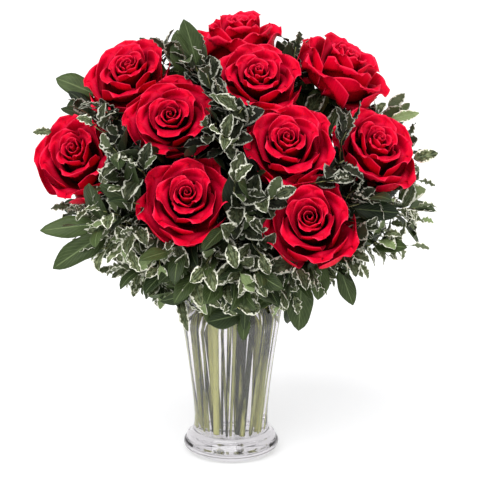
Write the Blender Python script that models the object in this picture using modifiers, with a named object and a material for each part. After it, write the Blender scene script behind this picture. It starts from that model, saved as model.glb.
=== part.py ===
# Roses in a vase: a dozen long-stemmed roses with variegated sprigs and plain
# leaf branches, standing in a flared glass vase that holds some water.
# Metres, +Z up. The origin is the middle of the vase's underside, and -Y is
# the front of the bouquet.

import math

import bmesh
import bpy
import numpy as np
from mathutils import Matrix, Vector
from mathutils.bvhtree import BVHTree
from mathutils.geometry import interpolate_bezier

# Vase
VASE_HEIGHT = 0.197
MOUTH_RADIUS = 0.060
WAIST_RADIUS = 0.037
WAIST_LEVEL = 0.036
FOOT_RADIUS = 0.048
FOOT_LEVEL = 0.0085  # height of the foot's widest ring
BASE_RADIUS = 0.040  # flat ring that the foot stands on
NECK_LEVEL = 0.022  # where the foot's slope meets the body
GLASS_WALL = 0.0032
FLOOR_LEVEL = 0.0195  # top of the thick glass bottom
FLOOR_CORNER = 0.004  # rounding between the floor and the inner wall
FLARE_POWER = 1.35  # 1 is a straight cone, more keeps the waist slim
VASE_STEPS = 26
WALL_RINGS = 6

# Water
WATER_LEVEL = 0.160

# Bouquet
BOUQUET_RADIUS = 0.160  # from the vase's axis to the outermost bloom
BOUQUET_RISE = 0.210  # from the mouth to the top bloom
TWIST = math.radians(14)  # how far the stems spiral between floor and mouth

# Roses
BLOOM_RADIUS = 0.039
BLOOM_HEIGHT = 0.060
BLOOM_STEPS = 12
HIP_RADIUS = 0.0056  # swelling of the stem under the bloom
HIP_LENGTH = 0.012
ROSE_STEM_RADIUS = 0.0027
ROSE_STEM_SIDES = 2  # bevel resolution, 8 sides

# Routes of all stems above the mouth
STEM_KNOTS = 7
ROUTE_SAMPLES = 70
SETTLE_STEPS = 160
SPREAD_STEPS = 400
BLOOM_ROUND = 1.03  # radius of the ball that holds a bloom, in bloom radii
ROSE_RISE = 0.42  # how far a stem runs on straight before it bends
SPRIG_RISE = 0.40
HANGING_RISE = 0.62  # a hanging stem first rises over the rim
ARRIVE = 0.38  # how far before its end a stem has turned the end's way

# Foliage
LEAF_STEM_RADIUS = 0.0014
LEAF_STEM_TIP = 0.75  # thickness at the tip beside the thickness at the foot
SPRIG_LEAF = {
    "length": 0.027,
    "width": 0.013,
    "spacing": 0.0135,
    "angle": math.radians(52),
    "shoulders": [(0.45, 1.0)],
    "bare": 0.42,
}
BRANCH_LEAF = {
    "length": 0.046,
    "width": 0.021,
    "spacing": 0.021,
    "angle": math.radians(44),
    "shoulders": [(0.36, 1.0), (0.72, 0.74)],
    "bare": 0.42,
}
LEAF_THICKNESS = 0.0008
PETIOLE_WIDTH = 0.0010
LEAF_STEM_SIDES = 1  # bevel resolution, 6 sides
LEAF_TURN = math.radians(137.5)  # from one leaf to the next round its stem

LEAF_TRIES = 18
SMALL_LEAF = 0.75  # a leaf in a tight place, beside a full one

# Fits
FIT_GAP = 0.0003
STEM_GAP = 0.0011  # least gap between two stems
BLOOM_GAP = 0.0010
LEAF_GAP = 0.0005

# Each rose: where its bloom is, as shares of the bouquet's radius (x, y) and
# rise (z), and the direction that the bloom faces.
ROSES = [
    ((0.05, 0.39, 0.995), (0.00, -0.15, 1.00)),  # top, standing upright
    ((-0.67, 0.14, 0.895), (-0.30, -0.55, 0.85)),  # upper left
    ((0.70, 0.125, 0.90), (0.45, -0.25, 0.85)),  # upper right, leaning out
    ((0.175, -0.125, 0.91), (0.08, -0.60, 0.80)),  # upper middle
    ((-0.37, -0.26, 0.755), (-0.12, -0.75, 0.70)),  # middle left
    ((-0.97, -0.06, 0.505), (-0.45, -0.75, 0.60)),  # far left
    ((0.355, -0.425, 0.63), (0.10, -0.75, 0.70)),  # middle right
    ((0.915, -0.125, 0.56), (0.40, -0.62, 0.70)),  # far right
    ((-0.27, -0.594, 0.405), (-0.08, -0.85, 0.55)),  # lower left
    ((0.505, -0.60, 0.28), (0.10, -0.88, 0.45)),  # lower right
    ((-0.42, 0.56, 0.60), (-0.45, 0.70, 0.65)),  # back left
    ((0.40, 0.62, 0.50), (0.40, 0.75, 0.60)),  # back right
]

# Each sprig: its tip, in the same shares, and how steeply the tip points up
# (+) or hangs (-), in degrees.
SPRIGS = [
    ((-0.58, -0.33, -0.14), -60),  # left of the mouth, hanging
    ((-0.34, -0.44, -0.22), -68),  # front left, hanging over the rim
    ((-0.72, -0.42, 0.17), -15),  # lower left
    ((-0.68, -0.32, 0.50), 35),  # left, between three blooms
    ((-0.84, -0.02, 0.80), 45),  # upper left
    ((-0.50, 0.42, 1.06), 70),  # top left
    ((-0.17, 0.34, 1.03), 75),  # top
    ((-0.06, -0.46, 0.74), 45),  # middle
    ((0.06, -0.72, 0.42), 20),  # lower middle
    ((0.68, -0.34, 0.77), 50),  # right, between three blooms
    ((1.28, -0.20, 0.30), 5),  # far right
    ((1.21, 0.16, 0.52), 25),  # far right, higher
    ((1.04, -0.32, 0.08), -25),  # lower right
    ((0.80, -0.58, 0.10), -25),  # front right
    ((0.45, 0.18, 0.98), 70),  # top right
    ((-0.80, 0.46, 0.34), 10),  # back left
    ((0.05, 0.86, 0.42), 20),  # back
    ((0.78, 0.56, 0.40), 15),  # back right
]

# Each leaf branch, in the same way.
BRANCHES = [
    ((0.45, -0.43, -0.20), -70),  # front right, hanging over the rim
    ((0.10, -0.50, -0.20), -72),  # front, hanging over the rim
    ((-0.12, -0.50, -0.14), -60),  # front, hanging a little left
    ((0.74, -0.40, -0.08), -35),  # right, hanging
    ((-1.04, -0.16, 0.14), -5),  # lower left
    ((-1.04, 0.10, 0.78), 30),  # upper left, behind the blooms
    ((-0.30, 0.26, 1.00), 65),  # top left
    ((0.12, -0.62, 0.12), -15),  # low, between the two front blooms
    ((-0.45, 0.72, 0.10), -15),  # back left, low
    ((0.42, 0.74, 0.08), -15),  # back right, low
    ((0.02, 0.66, 0.86), 50),  # back, high
]

PARTS = "roses_in_a_vase"
CUTTERS = "cutters"


def clear_scene():
    for old in list(bpy.data.objects):
        bpy.data.objects.remove(old, do_unlink=True)


def new_collection(name):
    made = bpy.data.collections.new(name)
    bpy.context.scene.collection.children.link(made)
    return made


def new_material(name, colour, roughness, metallic=0.0):
    material = bpy.data.materials.new(name)
    material.use_nodes = True
    shader = material.node_tree.nodes["Principled BSDF"]
    shader.inputs["Base Color"].default_value = (*colour, 1.0)
    shader.inputs["Roughness"].default_value = roughness
    shader.inputs["Metallic"].default_value = metallic
    material.diffuse_color = (*colour, 1.0)
    return material


def add_object(name, data, collection, material=None):
    made = bpy.data.objects.new(name, data)
    bpy.data.collections[collection].objects.link(made)
    if material is not None:
        made.data.materials.append(material)
    return made


def mesh_from(name, points, faces):
    mesh = bpy.data.meshes.new(name)
    mesh.from_pydata([tuple(p) for p in points], [], faces)
    mesh.update()
    return mesh


def hide_helper(helper):
    helper.hide_render = True
    helper.display_type = "WIRE"


# ---------------------------------------------------------------- turned shapes


def turned(name, profile, steps, collection, material):
    # The profile is (radius, height) pairs that run down the outer side.
    points = [(radius, 0.0, height) for radius, height in profile]
    mesh = bpy.data.meshes.new(name)
    edges = [(i, i + 1) for i in range(len(points) - 1)]
    mesh.from_pydata(points, edges, [])
    made = add_object(name, mesh, collection, material)
    screw = made.modifiers.new("Turn", "SCREW")
    screw.axis = "Z"
    screw.steps = steps
    screw.render_steps = steps
    screw.use_merge_vertices = True
    screw.merge_threshold = 0.0001
    screw.use_smooth_shade = True
    return made


def outer_radius(height):
    # The body's outer radius from the waist up.
    share = max(height - WAIST_LEVEL, 0.0) / (VASE_HEIGHT - WAIST_LEVEL)
    return WAIST_RADIUS + (MOUTH_RADIUS - WAIST_RADIUS) * share**FLARE_POWER


def inner_radius(height):
    return outer_radius(height) - GLASS_WALL


def wall_levels():
    # Ring heights between the waist and the mouth, closer at the waist.
    shares = [(i / WALL_RINGS) ** 1.2 for i in range(1, WALL_RINGS)]
    return [WAIST_LEVEL + (VASE_HEIGHT - WAIST_LEVEL) * share for share in shares]


def build_vase(material):
    lip = GLASS_WALL / 2
    floor_radius = inner_radius(FLOOR_LEVEL)
    inner = [(0.0, FLOOR_LEVEL), (floor_radius - FLOOR_CORNER, FLOOR_LEVEL)]
    for turn in (30, 60):
        angle = math.radians(turn)
        inner.append(
            (
                floor_radius - FLOOR_CORNER * (1 - math.sin(angle)),
                FLOOR_LEVEL + FLOOR_CORNER * (1 - math.cos(angle)),
            )
        )
    inner.append((floor_radius, FLOOR_LEVEL + FLOOR_CORNER))
    inner.append((inner_radius(WAIST_LEVEL), WAIST_LEVEL))
    inner += [(inner_radius(z), z) for z in wall_levels()]
    rim_radius = MOUTH_RADIUS - lip
    rim_level = VASE_HEIGHT - lip
    rim = [
        (rim_radius + lip * math.cos(math.radians(a)), rim_level + lip * math.sin(math.radians(a)))
        for a in (180, 120, 60, 0)
    ]
    outer = [(outer_radius(z), z) for z in reversed(wall_levels())]
    outer += [(WAIST_RADIUS, WAIST_LEVEL), (WAIST_RADIUS + 0.0006, NECK_LEVEL + 0.004)]
    outer.append((WAIST_RADIUS + 0.0022, NECK_LEVEL))
    slope = (FOOT_RADIUS - WAIST_RADIUS) * 0.72
    outer.append((WAIST_RADIUS + slope, (NECK_LEVEL + FOOT_LEVEL) / 2 + 0.0012))
    outer.append((FOOT_RADIUS, FOOT_LEVEL))
    outer.append((FOOT_RADIUS - 0.0014, FOOT_LEVEL * 0.42))
    outer.append((BASE_RADIUS + 0.0030, FOOT_LEVEL * 0.10))
    outer += [(BASE_RADIUS, 0.0), (0.0, 0.0)]
    return turned("vase", inner + rim + outer, VASE_STEPS, PARTS, material)


# ---------------------------------------------------------------- stems in the vase


def wall_limits(radius):
    # How far from the axis the middle of a straight stem may stand on the
    # floor and at the mouth, so that it touches the inner wall nowhere.
    room = radius + STEM_GAP
    foot = inner_radius(WAIST_LEVEL) - room - FLOOR_CORNER / 2
    mouth = inner_radius(VASE_HEIGHT) - room
    for i in range(2, 40):
        share = i / 40
        level = FLOOR_LEVEL + (VASE_HEIGHT - FLOOR_LEVEL) * share
        mouth = min(mouth, (inner_radius(level) - room - foot * (1 - share)) / share)
    return foot, mouth


def spread_apart(places, radii, limit):
    # Pushes stems apart at the mouth until none touches its neighbours where
    # the bundle is tightest, on the floor.
    foot_limit, mouth_limit = limit
    grow = mouth_limit / foot_limit
    places = [Vector(p) for p in places]
    for _ in range(SPREAD_STEPS):
        for i, place in enumerate(places):
            for j in range(i):
                between = place - places[j]
                least = (radii[i] + radii[j] + STEM_GAP) * grow
                if between.length < least:
                    push = between.normalized() * (least - between.length) * 0.52
                    place += push
                    places[j] -= push
        for place in places:
            if place.length > mouth_limit:
                place *= mouth_limit / place.length
    return places


def mouth_places(targets, radii):
    # Each stem leaves the mouth on the side where its head is.
    limit = wall_limits(max(radii))
    wanted = []
    for target in targets:
        side = Vector((target.x, target.y))
        share = min(side.length / (BOUQUET_RADIUS * 1.05), 1.0) ** 0.85
        wanted.append(side.normalized() * limit[1] * share)
    return spread_apart(wanted, radii, limit), limit


def foot_place(mouth, limit, radius):
    # The foot of a stem on the floor: nearer to the axis and turned back.
    back = Matrix.Rotation(-TWIST, 2)
    foot = back @ mouth * (limit[0] / limit[1])
    lift = FIT_GAP + radius * 0.25  # the cut end leans a little with its stem
    return Vector((foot.x, foot.y, FLOOR_LEVEL + lift))


# ---------------------------------------------------------------- stem routes


def sample_shares(knots, samples):
    # One row for each sample along a polyline: how much of each knot it holds.
    shares = np.zeros((samples, knots))
    for row, at in enumerate(np.linspace(0, knots - 1, samples)):
        low = min(int(at), knots - 2)
        shares[row, low] = 1 - (at - low)
        shares[row, low + 1] = at - low
    return shares


def nearest_push(points, others, reach):
    # How far each point has to move to be clear of the nearest other point.
    if len(others) == 0:
        return np.zeros_like(points)
    between = points[:, None, :] - others[None, :, :]
    distance = np.linalg.norm(between, axis=2)
    nearest = (distance - reach[None, :]).argmin(axis=1)
    rows = np.arange(len(points))
    short = np.maximum(reach[nearest] - distance[rows, nearest], 0.0)
    way = between[rows, nearest] / np.maximum(distance[rows, nearest], 1e-9)[:, None]
    return way * short[:, None]


def rim_push(points, radius):
    # Lifts a stem over the glass rim, or holds it off the outside of the wall.
    push = np.zeros_like(points)
    room = radius + STEM_GAP
    for i, (x, y, z) in enumerate(points):
        around = math.hypot(x, y)
        if z >= VASE_HEIGHT + room or around < inner_radius(VASE_HEIGHT) - room:
            continue
        over = VASE_HEIGHT + room - z
        out = outer_radius(min(z, VASE_HEIGHT)) + room - around
        if out <= 0:
            continue
        if over < out:
            push[i, 2] = over
        else:
            push[i, :2] = points[i, :2] / around * out
    return push


def settle_route(route, radius, stems, blooms, held_end):
    # Moves the loose knots of a route until the stem is clear of the blooms,
    # the rim and the stems that already stand. The first knot is held at the
    # mouth, and the last one where a bloom sits on it.
    knots = np.array([tuple(p) for p in route])
    shares = sample_shares(len(knots), ROUTE_SAMPLES)
    others = np.concatenate([places for places, _ in stems]) if stems else np.zeros((0, 3))
    reach = np.concatenate([wide for _, wide in stems]) if stems else np.zeros(0)
    reach = reach + radius + STEM_GAP
    centres = np.array([tuple(b) for b in blooms])
    bloom_reach = np.full(len(centres), BLOOM_RADIUS * BLOOM_ROUND + radius + BLOOM_GAP)
    free = np.ones((len(knots), 1))
    free[0] = 0.0
    if held_end:
        free[-1] = 0.0
    for step in range(SETTLE_STEPS):
        points = shares @ knots
        push = nearest_push(points, others, reach)
        push += nearest_push(points, centres, bloom_reach)
        push += rim_push(points, radius)
        pushed = (np.abs(push).sum(axis=1) > 0).astype(float)
        weight = np.maximum(shares.T @ pushed, 0.5)[:, None]
        knots += (shares.T @ push) / weight * free
        if step < SETTLE_STEPS // 2:  # the last half only pushes
            smooth = knots.copy()
            smooth[1:-1] = (knots[:-2] + 2 * knots[1:-1] + knots[2:]) / 4
            knots += (smooth - knots) * free * 0.12
    return [Vector(k) for k in knots]


def stem_samples(points, radii):
    # Places and half-widths along a finished stem, for others to keep clear of.
    shares = sample_shares(len(points), ROUTE_SAMPLES * 2)
    return shares @ np.array([tuple(p) for p in points]), shares @ np.array(radii)


def arching_route(mouth, foot, end, end_way, rise):
    # A smooth curve from the mouth, where it carries on straight from the
    # foot, to the end, where it points along end_way.
    start = Vector((mouth.x, mouth.y, VASE_HEIGHT))
    way = (start - foot).normalized()
    reach = (end - start).length
    leave = start + way * reach * rise
    arrive = end - end_way.normalized() * reach * ARRIVE
    return interpolate_bezier(start, leave, arrive, end, STEM_KNOTS)


def tube(name, points, radii, collection, material, sides_resolution):
    curve = bpy.data.curves.new(name, "CURVE")
    curve.dimensions = "3D"
    curve.bevel_depth = radii[0]
    curve.bevel_resolution = sides_resolution
    curve.use_fill_caps = True
    spline = curve.splines.new("POLY")
    spline.points.add(len(points) - 1)
    for knot, place, radius in zip(spline.points, points, radii):
        knot.co = (*place, 1.0)
        knot.radius = radius / radii[0]
    return add_object(name, curve, collection, material)


def as_mesh_object(curve_object, material):
    # A curve's tube with its caps welded on, in place of the curve.
    name = curve_object.name
    bpy.context.view_layer.update()
    graph = bpy.context.evaluated_depsgraph_get()
    mesh = bpy.data.meshes.new_from_object(curve_object.evaluated_get(graph))
    welded = bmesh.new()
    welded.from_mesh(mesh)
    bmesh.ops.remove_doubles(welded, verts=welded.verts, dist=0.00001)
    welded.to_mesh(mesh)
    welded.free()
    place = curve_object.matrix_world.copy()
    bpy.data.objects.remove(curve_object, do_unlink=True)
    mesh.name = name
    made = add_object(name, mesh, PARTS)
    made.matrix_world = place
    made.data.materials.clear()
    made.data.materials.append(material)
    return made


# ---------------------------------------------------------------- roses


def bouquet_place(share):
    # A place in the bouquet from shares of its radius and rise.
    x, y, z = share
    return Vector((x * BOUQUET_RADIUS, y * BOUQUET_RADIUS, VASE_HEIGHT + z * BOUQUET_RISE))


def part_blooms(centres):
    # Blooms that would touch are moved apart, each by half.
    centres = [c.copy() for c in centres]
    least = 2 * BLOOM_RADIUS * BLOOM_ROUND + BLOOM_GAP
    for _ in range(SPREAD_STEPS):
        for i, centre in enumerate(centres):
            for j in range(i):
                between = centre - centres[j]
                if between.length < least:
                    push = between.normalized() * (least - between.length) * 0.52
                    centre += push
                    centres[j] -= push
    return centres


def bloom_profile():
    # Radius and height shares of a full goblet with a sunk heart.
    shares = [
        (0.00, 0.84),
        (0.34, 0.95),
        (0.74, 0.92),
        (0.95, 0.74),
        (1.00, 0.51),
        (0.91, 0.29),
        (0.60, 0.09),
        (0.15, 0.00),
        (0.00, 0.00),
    ]
    return [(r * BLOOM_RADIUS, (h - 0.5) * BLOOM_HEIGHT) for r, h in shares]


def build_blooms(centres, ways, material):
    blooms = []
    for i, (centre, way) in enumerate(zip(centres, ways), 1):
        bloom = turned(f"rose_bloom_{i:02d}", bloom_profile(), BLOOM_STEPS, PARTS, material)
        bloom.location = centre
        bloom.rotation_mode = "QUATERNION"
        bloom.rotation_quaternion = way.to_track_quat("Z", "Y")
        blooms.append(bloom)
    return blooms


def rose_stem_points(foot, route, way):
    # The stem swells into the hip just under the bloom.
    shoulder = route[-1]
    points = [foot, *route, shoulder + way * HIP_LENGTH * 0.5, shoulder + way * HIP_LENGTH]
    radii = [ROSE_STEM_RADIUS] * (len(points) - 2) + [HIP_RADIUS * 0.85, HIP_RADIUS]
    return points, radii


# ---------------------------------------------------------------- foliage


def leaf_solid(base, along, facing, size, thickness, grow=0.0):
    # A flat leaf: a prism on an egg-shaped outline with a pointed tip.
    along = along.normalized()
    normal = (facing - facing.dot(along) * along).normalized()
    across = normal.cross(along)
    length = size["length"]
    half = size["width"] / 2
    side = [(0.0, PETIOLE_WIDTH / 2)]
    side += [(at * length, share * half) for at, share in size["shoulders"]]
    outline = [(u, -v - grow) for u, v in side]
    outline.append((length + grow, 0.0))
    outline += [(u, v + grow) for u, v in reversed(side)]
    lift = thickness / 2 + grow
    count = len(outline)
    points = [base + along * u + across * v + normal * lift for u, v in outline]
    points += [base + along * u + across * v - normal * lift for u, v in outline]
    faces = [tuple(range(count)), tuple(reversed(range(count, 2 * count)))]
    for i in range(count):
        j = (i + 1) % count
        faces.append((j, i, i + count, j + count))
    return points, faces


def box_of(points):
    places = np.array([tuple(p) for p in points])
    return places.min(axis=0), places.max(axis=0)


def solid_tree(points, faces):
    low, high = box_of(points)
    return low, high, BVHTree.FromPolygons([tuple(p) for p in points], faces)


def tree_of(target):
    bpy.context.view_layer.update()
    graph = bpy.context.evaluated_depsgraph_get()
    seen = target.evaluated_get(graph)
    mesh = seen.to_mesh()
    points = [seen.matrix_world @ v.co for v in mesh.vertices]
    faces = [tuple(p.vertices) for p in mesh.polygons]
    seen.to_mesh_clear()
    return solid_tree(points, faces)


def is_clear(solid, taken):
    low, high, tree = solid_tree(*solid)
    for other_low, other_high, other in taken:
        if (low > other_high).any() or (high < other_low).any():
            continue
        if tree.overlap(other):
            return False
    return True


def grow_leaves(route, leaf, taken):
    # Leaves stand along the route in a spiral. One that would run into a
    # neighbour turns round the stem or closes up, and is smaller at the last
    # try. Where nothing fits, no leaf grew.
    steps = np.linalg.norm(np.diff(route, axis=0), axis=1)
    distance = np.concatenate([[0.0], np.cumsum(steps)])
    total = distance[-1]
    start = total * leaf["bare"]
    count = int((total - start) / leaf["spacing"])
    leaves = []
    for i in range(count + 1):
        at = total - 0.001 - i * leaf["spacing"]
        near = int(np.searchsorted(distance, at)) - 1
        near = min(max(near, 0), len(route) - 2)
        share = (at - distance[near]) / max(distance[near + 1] - distance[near], 1e-9)
        base = Vector(route[near] + (route[near + 1] - route[near]) * share)
        ahead = Vector(route[near + 1] - route[near]).normalized()
        out = Vector((base.x, base.y, 0.0)).normalized() + Vector((0, 0, 0.9))
        for attempt in range(LEAF_TRIES):
            turn = i * LEAF_TURN + attempt * math.radians(50)
            open_by = leaf["angle"] * (0.15 if i == 0 else 1.0 - 0.04 * attempt)
            size = dict(leaf)
            if attempt > LEAF_TRIES // 2:
                size["length"] = leaf["length"] * SMALL_LEAF
                size["width"] = leaf["width"] * SMALL_LEAF
            side = Matrix.Rotation(turn, 3, ahead) @ ahead.orthogonal().normalized()
            along = ahead * math.cos(open_by) + side * math.sin(open_by)
            if abs(along.normalized().dot(out.normalized())) > 0.97:
                continue
            if is_clear(leaf_solid(base, along, out, size, LEAF_THICKNESS, LEAF_GAP), taken):
                leaf_made = leaf_solid(base, along, out, size, LEAF_THICKNESS)
                leaves.append(leaf_made)
                taken.append(solid_tree(*leaf_made))
                break
    return leaves


def leaf_stem_radii(count):
    return [LEAF_STEM_RADIUS * (1 - (1 - LEAF_STEM_TIP) * i / (count - 1)) for i in range(count)]


def build_foliage(name, points, leaf, taken, material):
    radii = leaf_stem_radii(len(points))
    stem = as_mesh_object(tube(name, points, radii, PARTS, material, LEAF_STEM_SIDES), material)
    spine = np.array([tuple(p) for p in points[1:]])
    leaves = grow_leaves(spine, leaf, taken)
    corners = []
    faces = []
    for leaf_points, leaf_faces in leaves:
        first = len(corners)
        corners += leaf_points
        faces += [tuple(first + k for k in face) for face in leaf_faces]
    blades = add_object(name + "_leaves", mesh_from(name + "_leaves", corners, faces), CUTTERS)
    hide_helper(blades)
    union = stem.modifiers.new("Leaves", "BOOLEAN")
    union.operation = "UNION"
    union.solver = "EXACT"
    union.object = blades
    return stem


# ---------------------------------------------------------------- water


def stem_holes(feet, mouths, radii):
    # One cutter for all holes that the stems make in the water.
    beyond = 0.004
    deep = (WATER_LEVEL - FLOOR_LEVEL) * 1.05 + beyond
    cut = bmesh.new()
    for foot, mouth, radius in zip(feet, mouths, radii):
        way = (Vector((mouth.x, mouth.y, VASE_HEIGHT)) - foot).normalized()
        ends = [foot - way * beyond, foot + way * deep]
        sides = ROSE_STEM_SIDES if radius > LEAF_STEM_RADIUS else LEAF_STEM_SIDES
        hole = tube("stem_hole", ends, [radius + FIT_GAP] * 2, CUTTERS, None, sides)
        bpy.context.view_layer.update()
        graph = bpy.context.evaluated_depsgraph_get()
        cut.from_mesh(bpy.data.meshes.new_from_object(hole.evaluated_get(graph)))
        bpy.data.objects.remove(hole, do_unlink=True)
    bmesh.ops.remove_doubles(cut, verts=cut.verts, dist=0.00001)
    mesh = bpy.data.meshes.new("stem_holes")
    cut.to_mesh(mesh)
    cut.free()
    cutter = add_object("stem_holes", mesh, CUTTERS)
    hide_helper(cutter)
    return cutter


def build_water(holes, material):
    # Its rings stand level with the glass wall's, so that the gap stays even.
    bottom = FLOOR_LEVEL + FIT_GAP
    covered = [z for z in wall_levels() if z < WATER_LEVEL - FIT_GAP]
    wall = [
        (inner_radius(z) - FIT_GAP, z)
        for z in (WATER_LEVEL, *reversed(covered), WAIST_LEVEL)
    ]
    corner = inner_radius(FLOOR_LEVEL) - FIT_GAP
    wall.append((corner, FLOOR_LEVEL + FLOOR_CORNER + FIT_GAP))
    wall.append((corner - FLOOR_CORNER * 1.05, bottom))
    profile = [(0.0, WATER_LEVEL), *wall, (0.0, bottom)]
    water = turned("water", profile, VASE_STEPS, PARTS, material)
    drill = water.modifiers.new("Stem holes", "BOOLEAN")
    drill.operation = "DIFFERENCE"
    drill.solver = "EXACT"
    drill.object = holes
    return water


# ---------------------------------------------------------------- the whole bouquet


def stand_roses(centres, ways, feet, mouths, taken, material):
    # The rose stems, each from its foot to its bloom. It gives back where
    # they run, for the foliage to keep clear of.
    stems = []
    for i, (centre, way) in enumerate(zip(centres, ways)):
        hip = centre - way * (BLOOM_HEIGHT / 2 + FIT_GAP + HIP_LENGTH)
        route = arching_route(mouths[i], feet[i], hip, way, ROSE_RISE)
        others = centres[:i] + centres[i + 1 :]
        route = settle_route(route, ROSE_STEM_RADIUS, stems, others, True)
        points, wide = rose_stem_points(feet[i], route, way)
        stems.append(stem_samples(points[1:], wide[1:]))
        name = f"rose_stem_{i + 1:02d}"
        taken.append(tree_of(tube(name, points, wide, PARTS, material, ROSE_STEM_SIDES)))
    return stems


def route_foliage(rows, tips, feet, mouths, stems, centres, taken):
    # The bare stem of each sprig and branch, before any leaf grows.
    routes = []
    for (name, leaf, steep), tip, foot, mouth in zip(rows, tips, feet, mouths):
        out = Vector((tip.x, tip.y, 0.0)).normalized()
        way = out * math.cos(steep) + Vector((0, 0, math.sin(steep)))
        rise = SPRIG_RISE if steep > 0 else HANGING_RISE
        route = arching_route(mouth, foot, tip - way * leaf["length"], way, rise)
        route = settle_route(route, LEAF_STEM_RADIUS, stems, centres, False)
        stems.append(stem_samples(route, [LEAF_STEM_RADIUS] * len(route)))
        points = [foot, *route]
        routes.append(points)
        bare = tube(name, points, leaf_stem_radii(len(points)), CUTTERS, None, LEAF_STEM_SIDES)
        taken.append(tree_of(bare))
        bpy.data.objects.remove(bare, do_unlink=True)
    return routes


def build():
    clear_scene()
    new_collection(PARTS)
    new_collection(CUTTERS)
    glass = new_material("clear_glass", (0.86, 0.88, 0.88), 0.02)
    liquid = new_material("water", (0.80, 0.86, 0.87), 0.01)
    petals = new_material("red_petals", (0.62, 0.004, 0.02), 0.55)
    rose_green = new_material("rose_stem_green", (0.25, 0.36, 0.09), 0.45)
    greens = {
        "variegated_sprig": new_material("variegated_leaf", (0.30, 0.40, 0.20), 0.45),
        "leaf_branch": new_material("plain_leaf", (0.06, 0.14, 0.05), 0.40),
    }

    vase = build_vase(glass)
    ways = [Vector(way).normalized() for _, way in ROSES]
    centres = part_blooms([bouquet_place(share) for share, _ in ROSES])
    blooms = build_blooms(centres, ways, petals)

    rows = []
    tips = []
    kinds = {"variegated_sprig": (SPRIGS, SPRIG_LEAF), "leaf_branch": (BRANCHES, BRANCH_LEAF)}
    for kind, (table, leaf) in kinds.items():
        for i, (share, steep) in enumerate(table, 1):
            rows.append((f"{kind}_{i:02d}", leaf, math.radians(steep)))
            tips.append(bouquet_place(share))
    radii = [ROSE_STEM_RADIUS] * len(centres) + [LEAF_STEM_RADIUS] * len(tips)
    mouths, limit = mouth_places(centres + tips, radii)
    feet = [foot_place(mouth, limit, radius) for mouth, radius in zip(mouths, radii)]

    roses = len(centres)
    taken = [tree_of(vase)] + [tree_of(bloom) for bloom in blooms]
    stems = stand_roses(centres, ways, feet[:roses], mouths[:roses], taken, rose_green)
    first = len(taken)
    routes = route_foliage(rows, tips, feet[roses:], mouths[roses:], stems, centres, taken)

    far_away = np.full(3, math.inf)
    for i, ((name, leaf, _), points) in enumerate(zip(rows, routes)):
        own = taken[first + i]
        taken[first + i] = (far_away, far_away, own[2])  # a leaf grows out of its own stem
        build_foliage(name, points, leaf, taken, greens[name[:-3]])
        taken[first + i] = own

    build_water(stem_holes(feet, mouths, radii), liquid)


build()
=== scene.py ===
import math

import bpy
import numpy as np
from mathutils import Matrix, Vector
from mathutils.geometry import interpolate_bezier


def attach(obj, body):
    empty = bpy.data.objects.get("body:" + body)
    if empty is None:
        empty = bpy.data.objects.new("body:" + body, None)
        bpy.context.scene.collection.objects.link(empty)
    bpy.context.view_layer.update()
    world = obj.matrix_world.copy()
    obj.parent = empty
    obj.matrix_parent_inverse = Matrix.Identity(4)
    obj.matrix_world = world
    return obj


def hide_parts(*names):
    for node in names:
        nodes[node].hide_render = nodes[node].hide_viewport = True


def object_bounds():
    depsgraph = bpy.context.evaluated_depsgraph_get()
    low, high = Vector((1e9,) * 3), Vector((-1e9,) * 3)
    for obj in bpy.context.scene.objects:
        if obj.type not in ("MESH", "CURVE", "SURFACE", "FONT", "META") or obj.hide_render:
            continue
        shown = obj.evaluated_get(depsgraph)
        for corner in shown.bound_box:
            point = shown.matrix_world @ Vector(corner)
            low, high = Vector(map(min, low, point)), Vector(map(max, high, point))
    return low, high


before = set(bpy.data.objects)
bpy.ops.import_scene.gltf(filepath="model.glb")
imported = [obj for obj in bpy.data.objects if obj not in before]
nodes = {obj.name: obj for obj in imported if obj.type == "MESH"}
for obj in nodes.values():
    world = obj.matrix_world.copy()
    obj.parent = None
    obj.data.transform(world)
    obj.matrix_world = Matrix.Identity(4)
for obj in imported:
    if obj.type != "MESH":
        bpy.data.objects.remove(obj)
cadLow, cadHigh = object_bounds()
print("frame loaded:", len(nodes), "nodes")


# where everything stands follows the same rules as the part's own

vase = {
    "height": 0.197,
    "mouth": 0.060,
    "waist": 0.037,
    "waistLevel": 0.036,
    "foot": 0.048,
    "footLevel": 0.0085,
    "base": 0.040,
    "neck": 0.022,
    "wall": 0.0032,
    "floor": 0.0195,
    "floorCorner": 0.004,
    "flare": 1.35,
    "water": 0.160,
    "creep": (0.0016, 0.0006),  # width of the water's curved edge and how high it climbs
    "footEdge": 0.0046,  # rounding of the foot's rim
    "hollow": (0.0362, 0.0014),  # radius and height of the hollow under the foot
}

bouquet = {
    "radius": 0.160,
    "rise": 0.210,
    "twist": math.radians(14),
    "bloomRadius": 0.039,
    "bloomHeight": 0.060,
    "bloomRound": 1.03,
    "hip": 0.012,  # swelling under the bloom
    "hipRadius": 0.0056,
    "roseStem": 0.0027,
    "leafStem": 0.0014,
    "knots": 7,
    "samples": 70,
    "settleSteps": 160,
    "spreadSteps": 400,
    "roseRise": 0.42,
    "sprigRise": 0.40,
    "hangingRise": 0.62,
    "arrive": 0.38,
    "fitGap": 0.0003,
    "stemGap": 0.0011,
    "bloomGap": 0.0010,
    "sprigLeaf": 0.027,
    "branchLeaf": 0.046,
}

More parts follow.
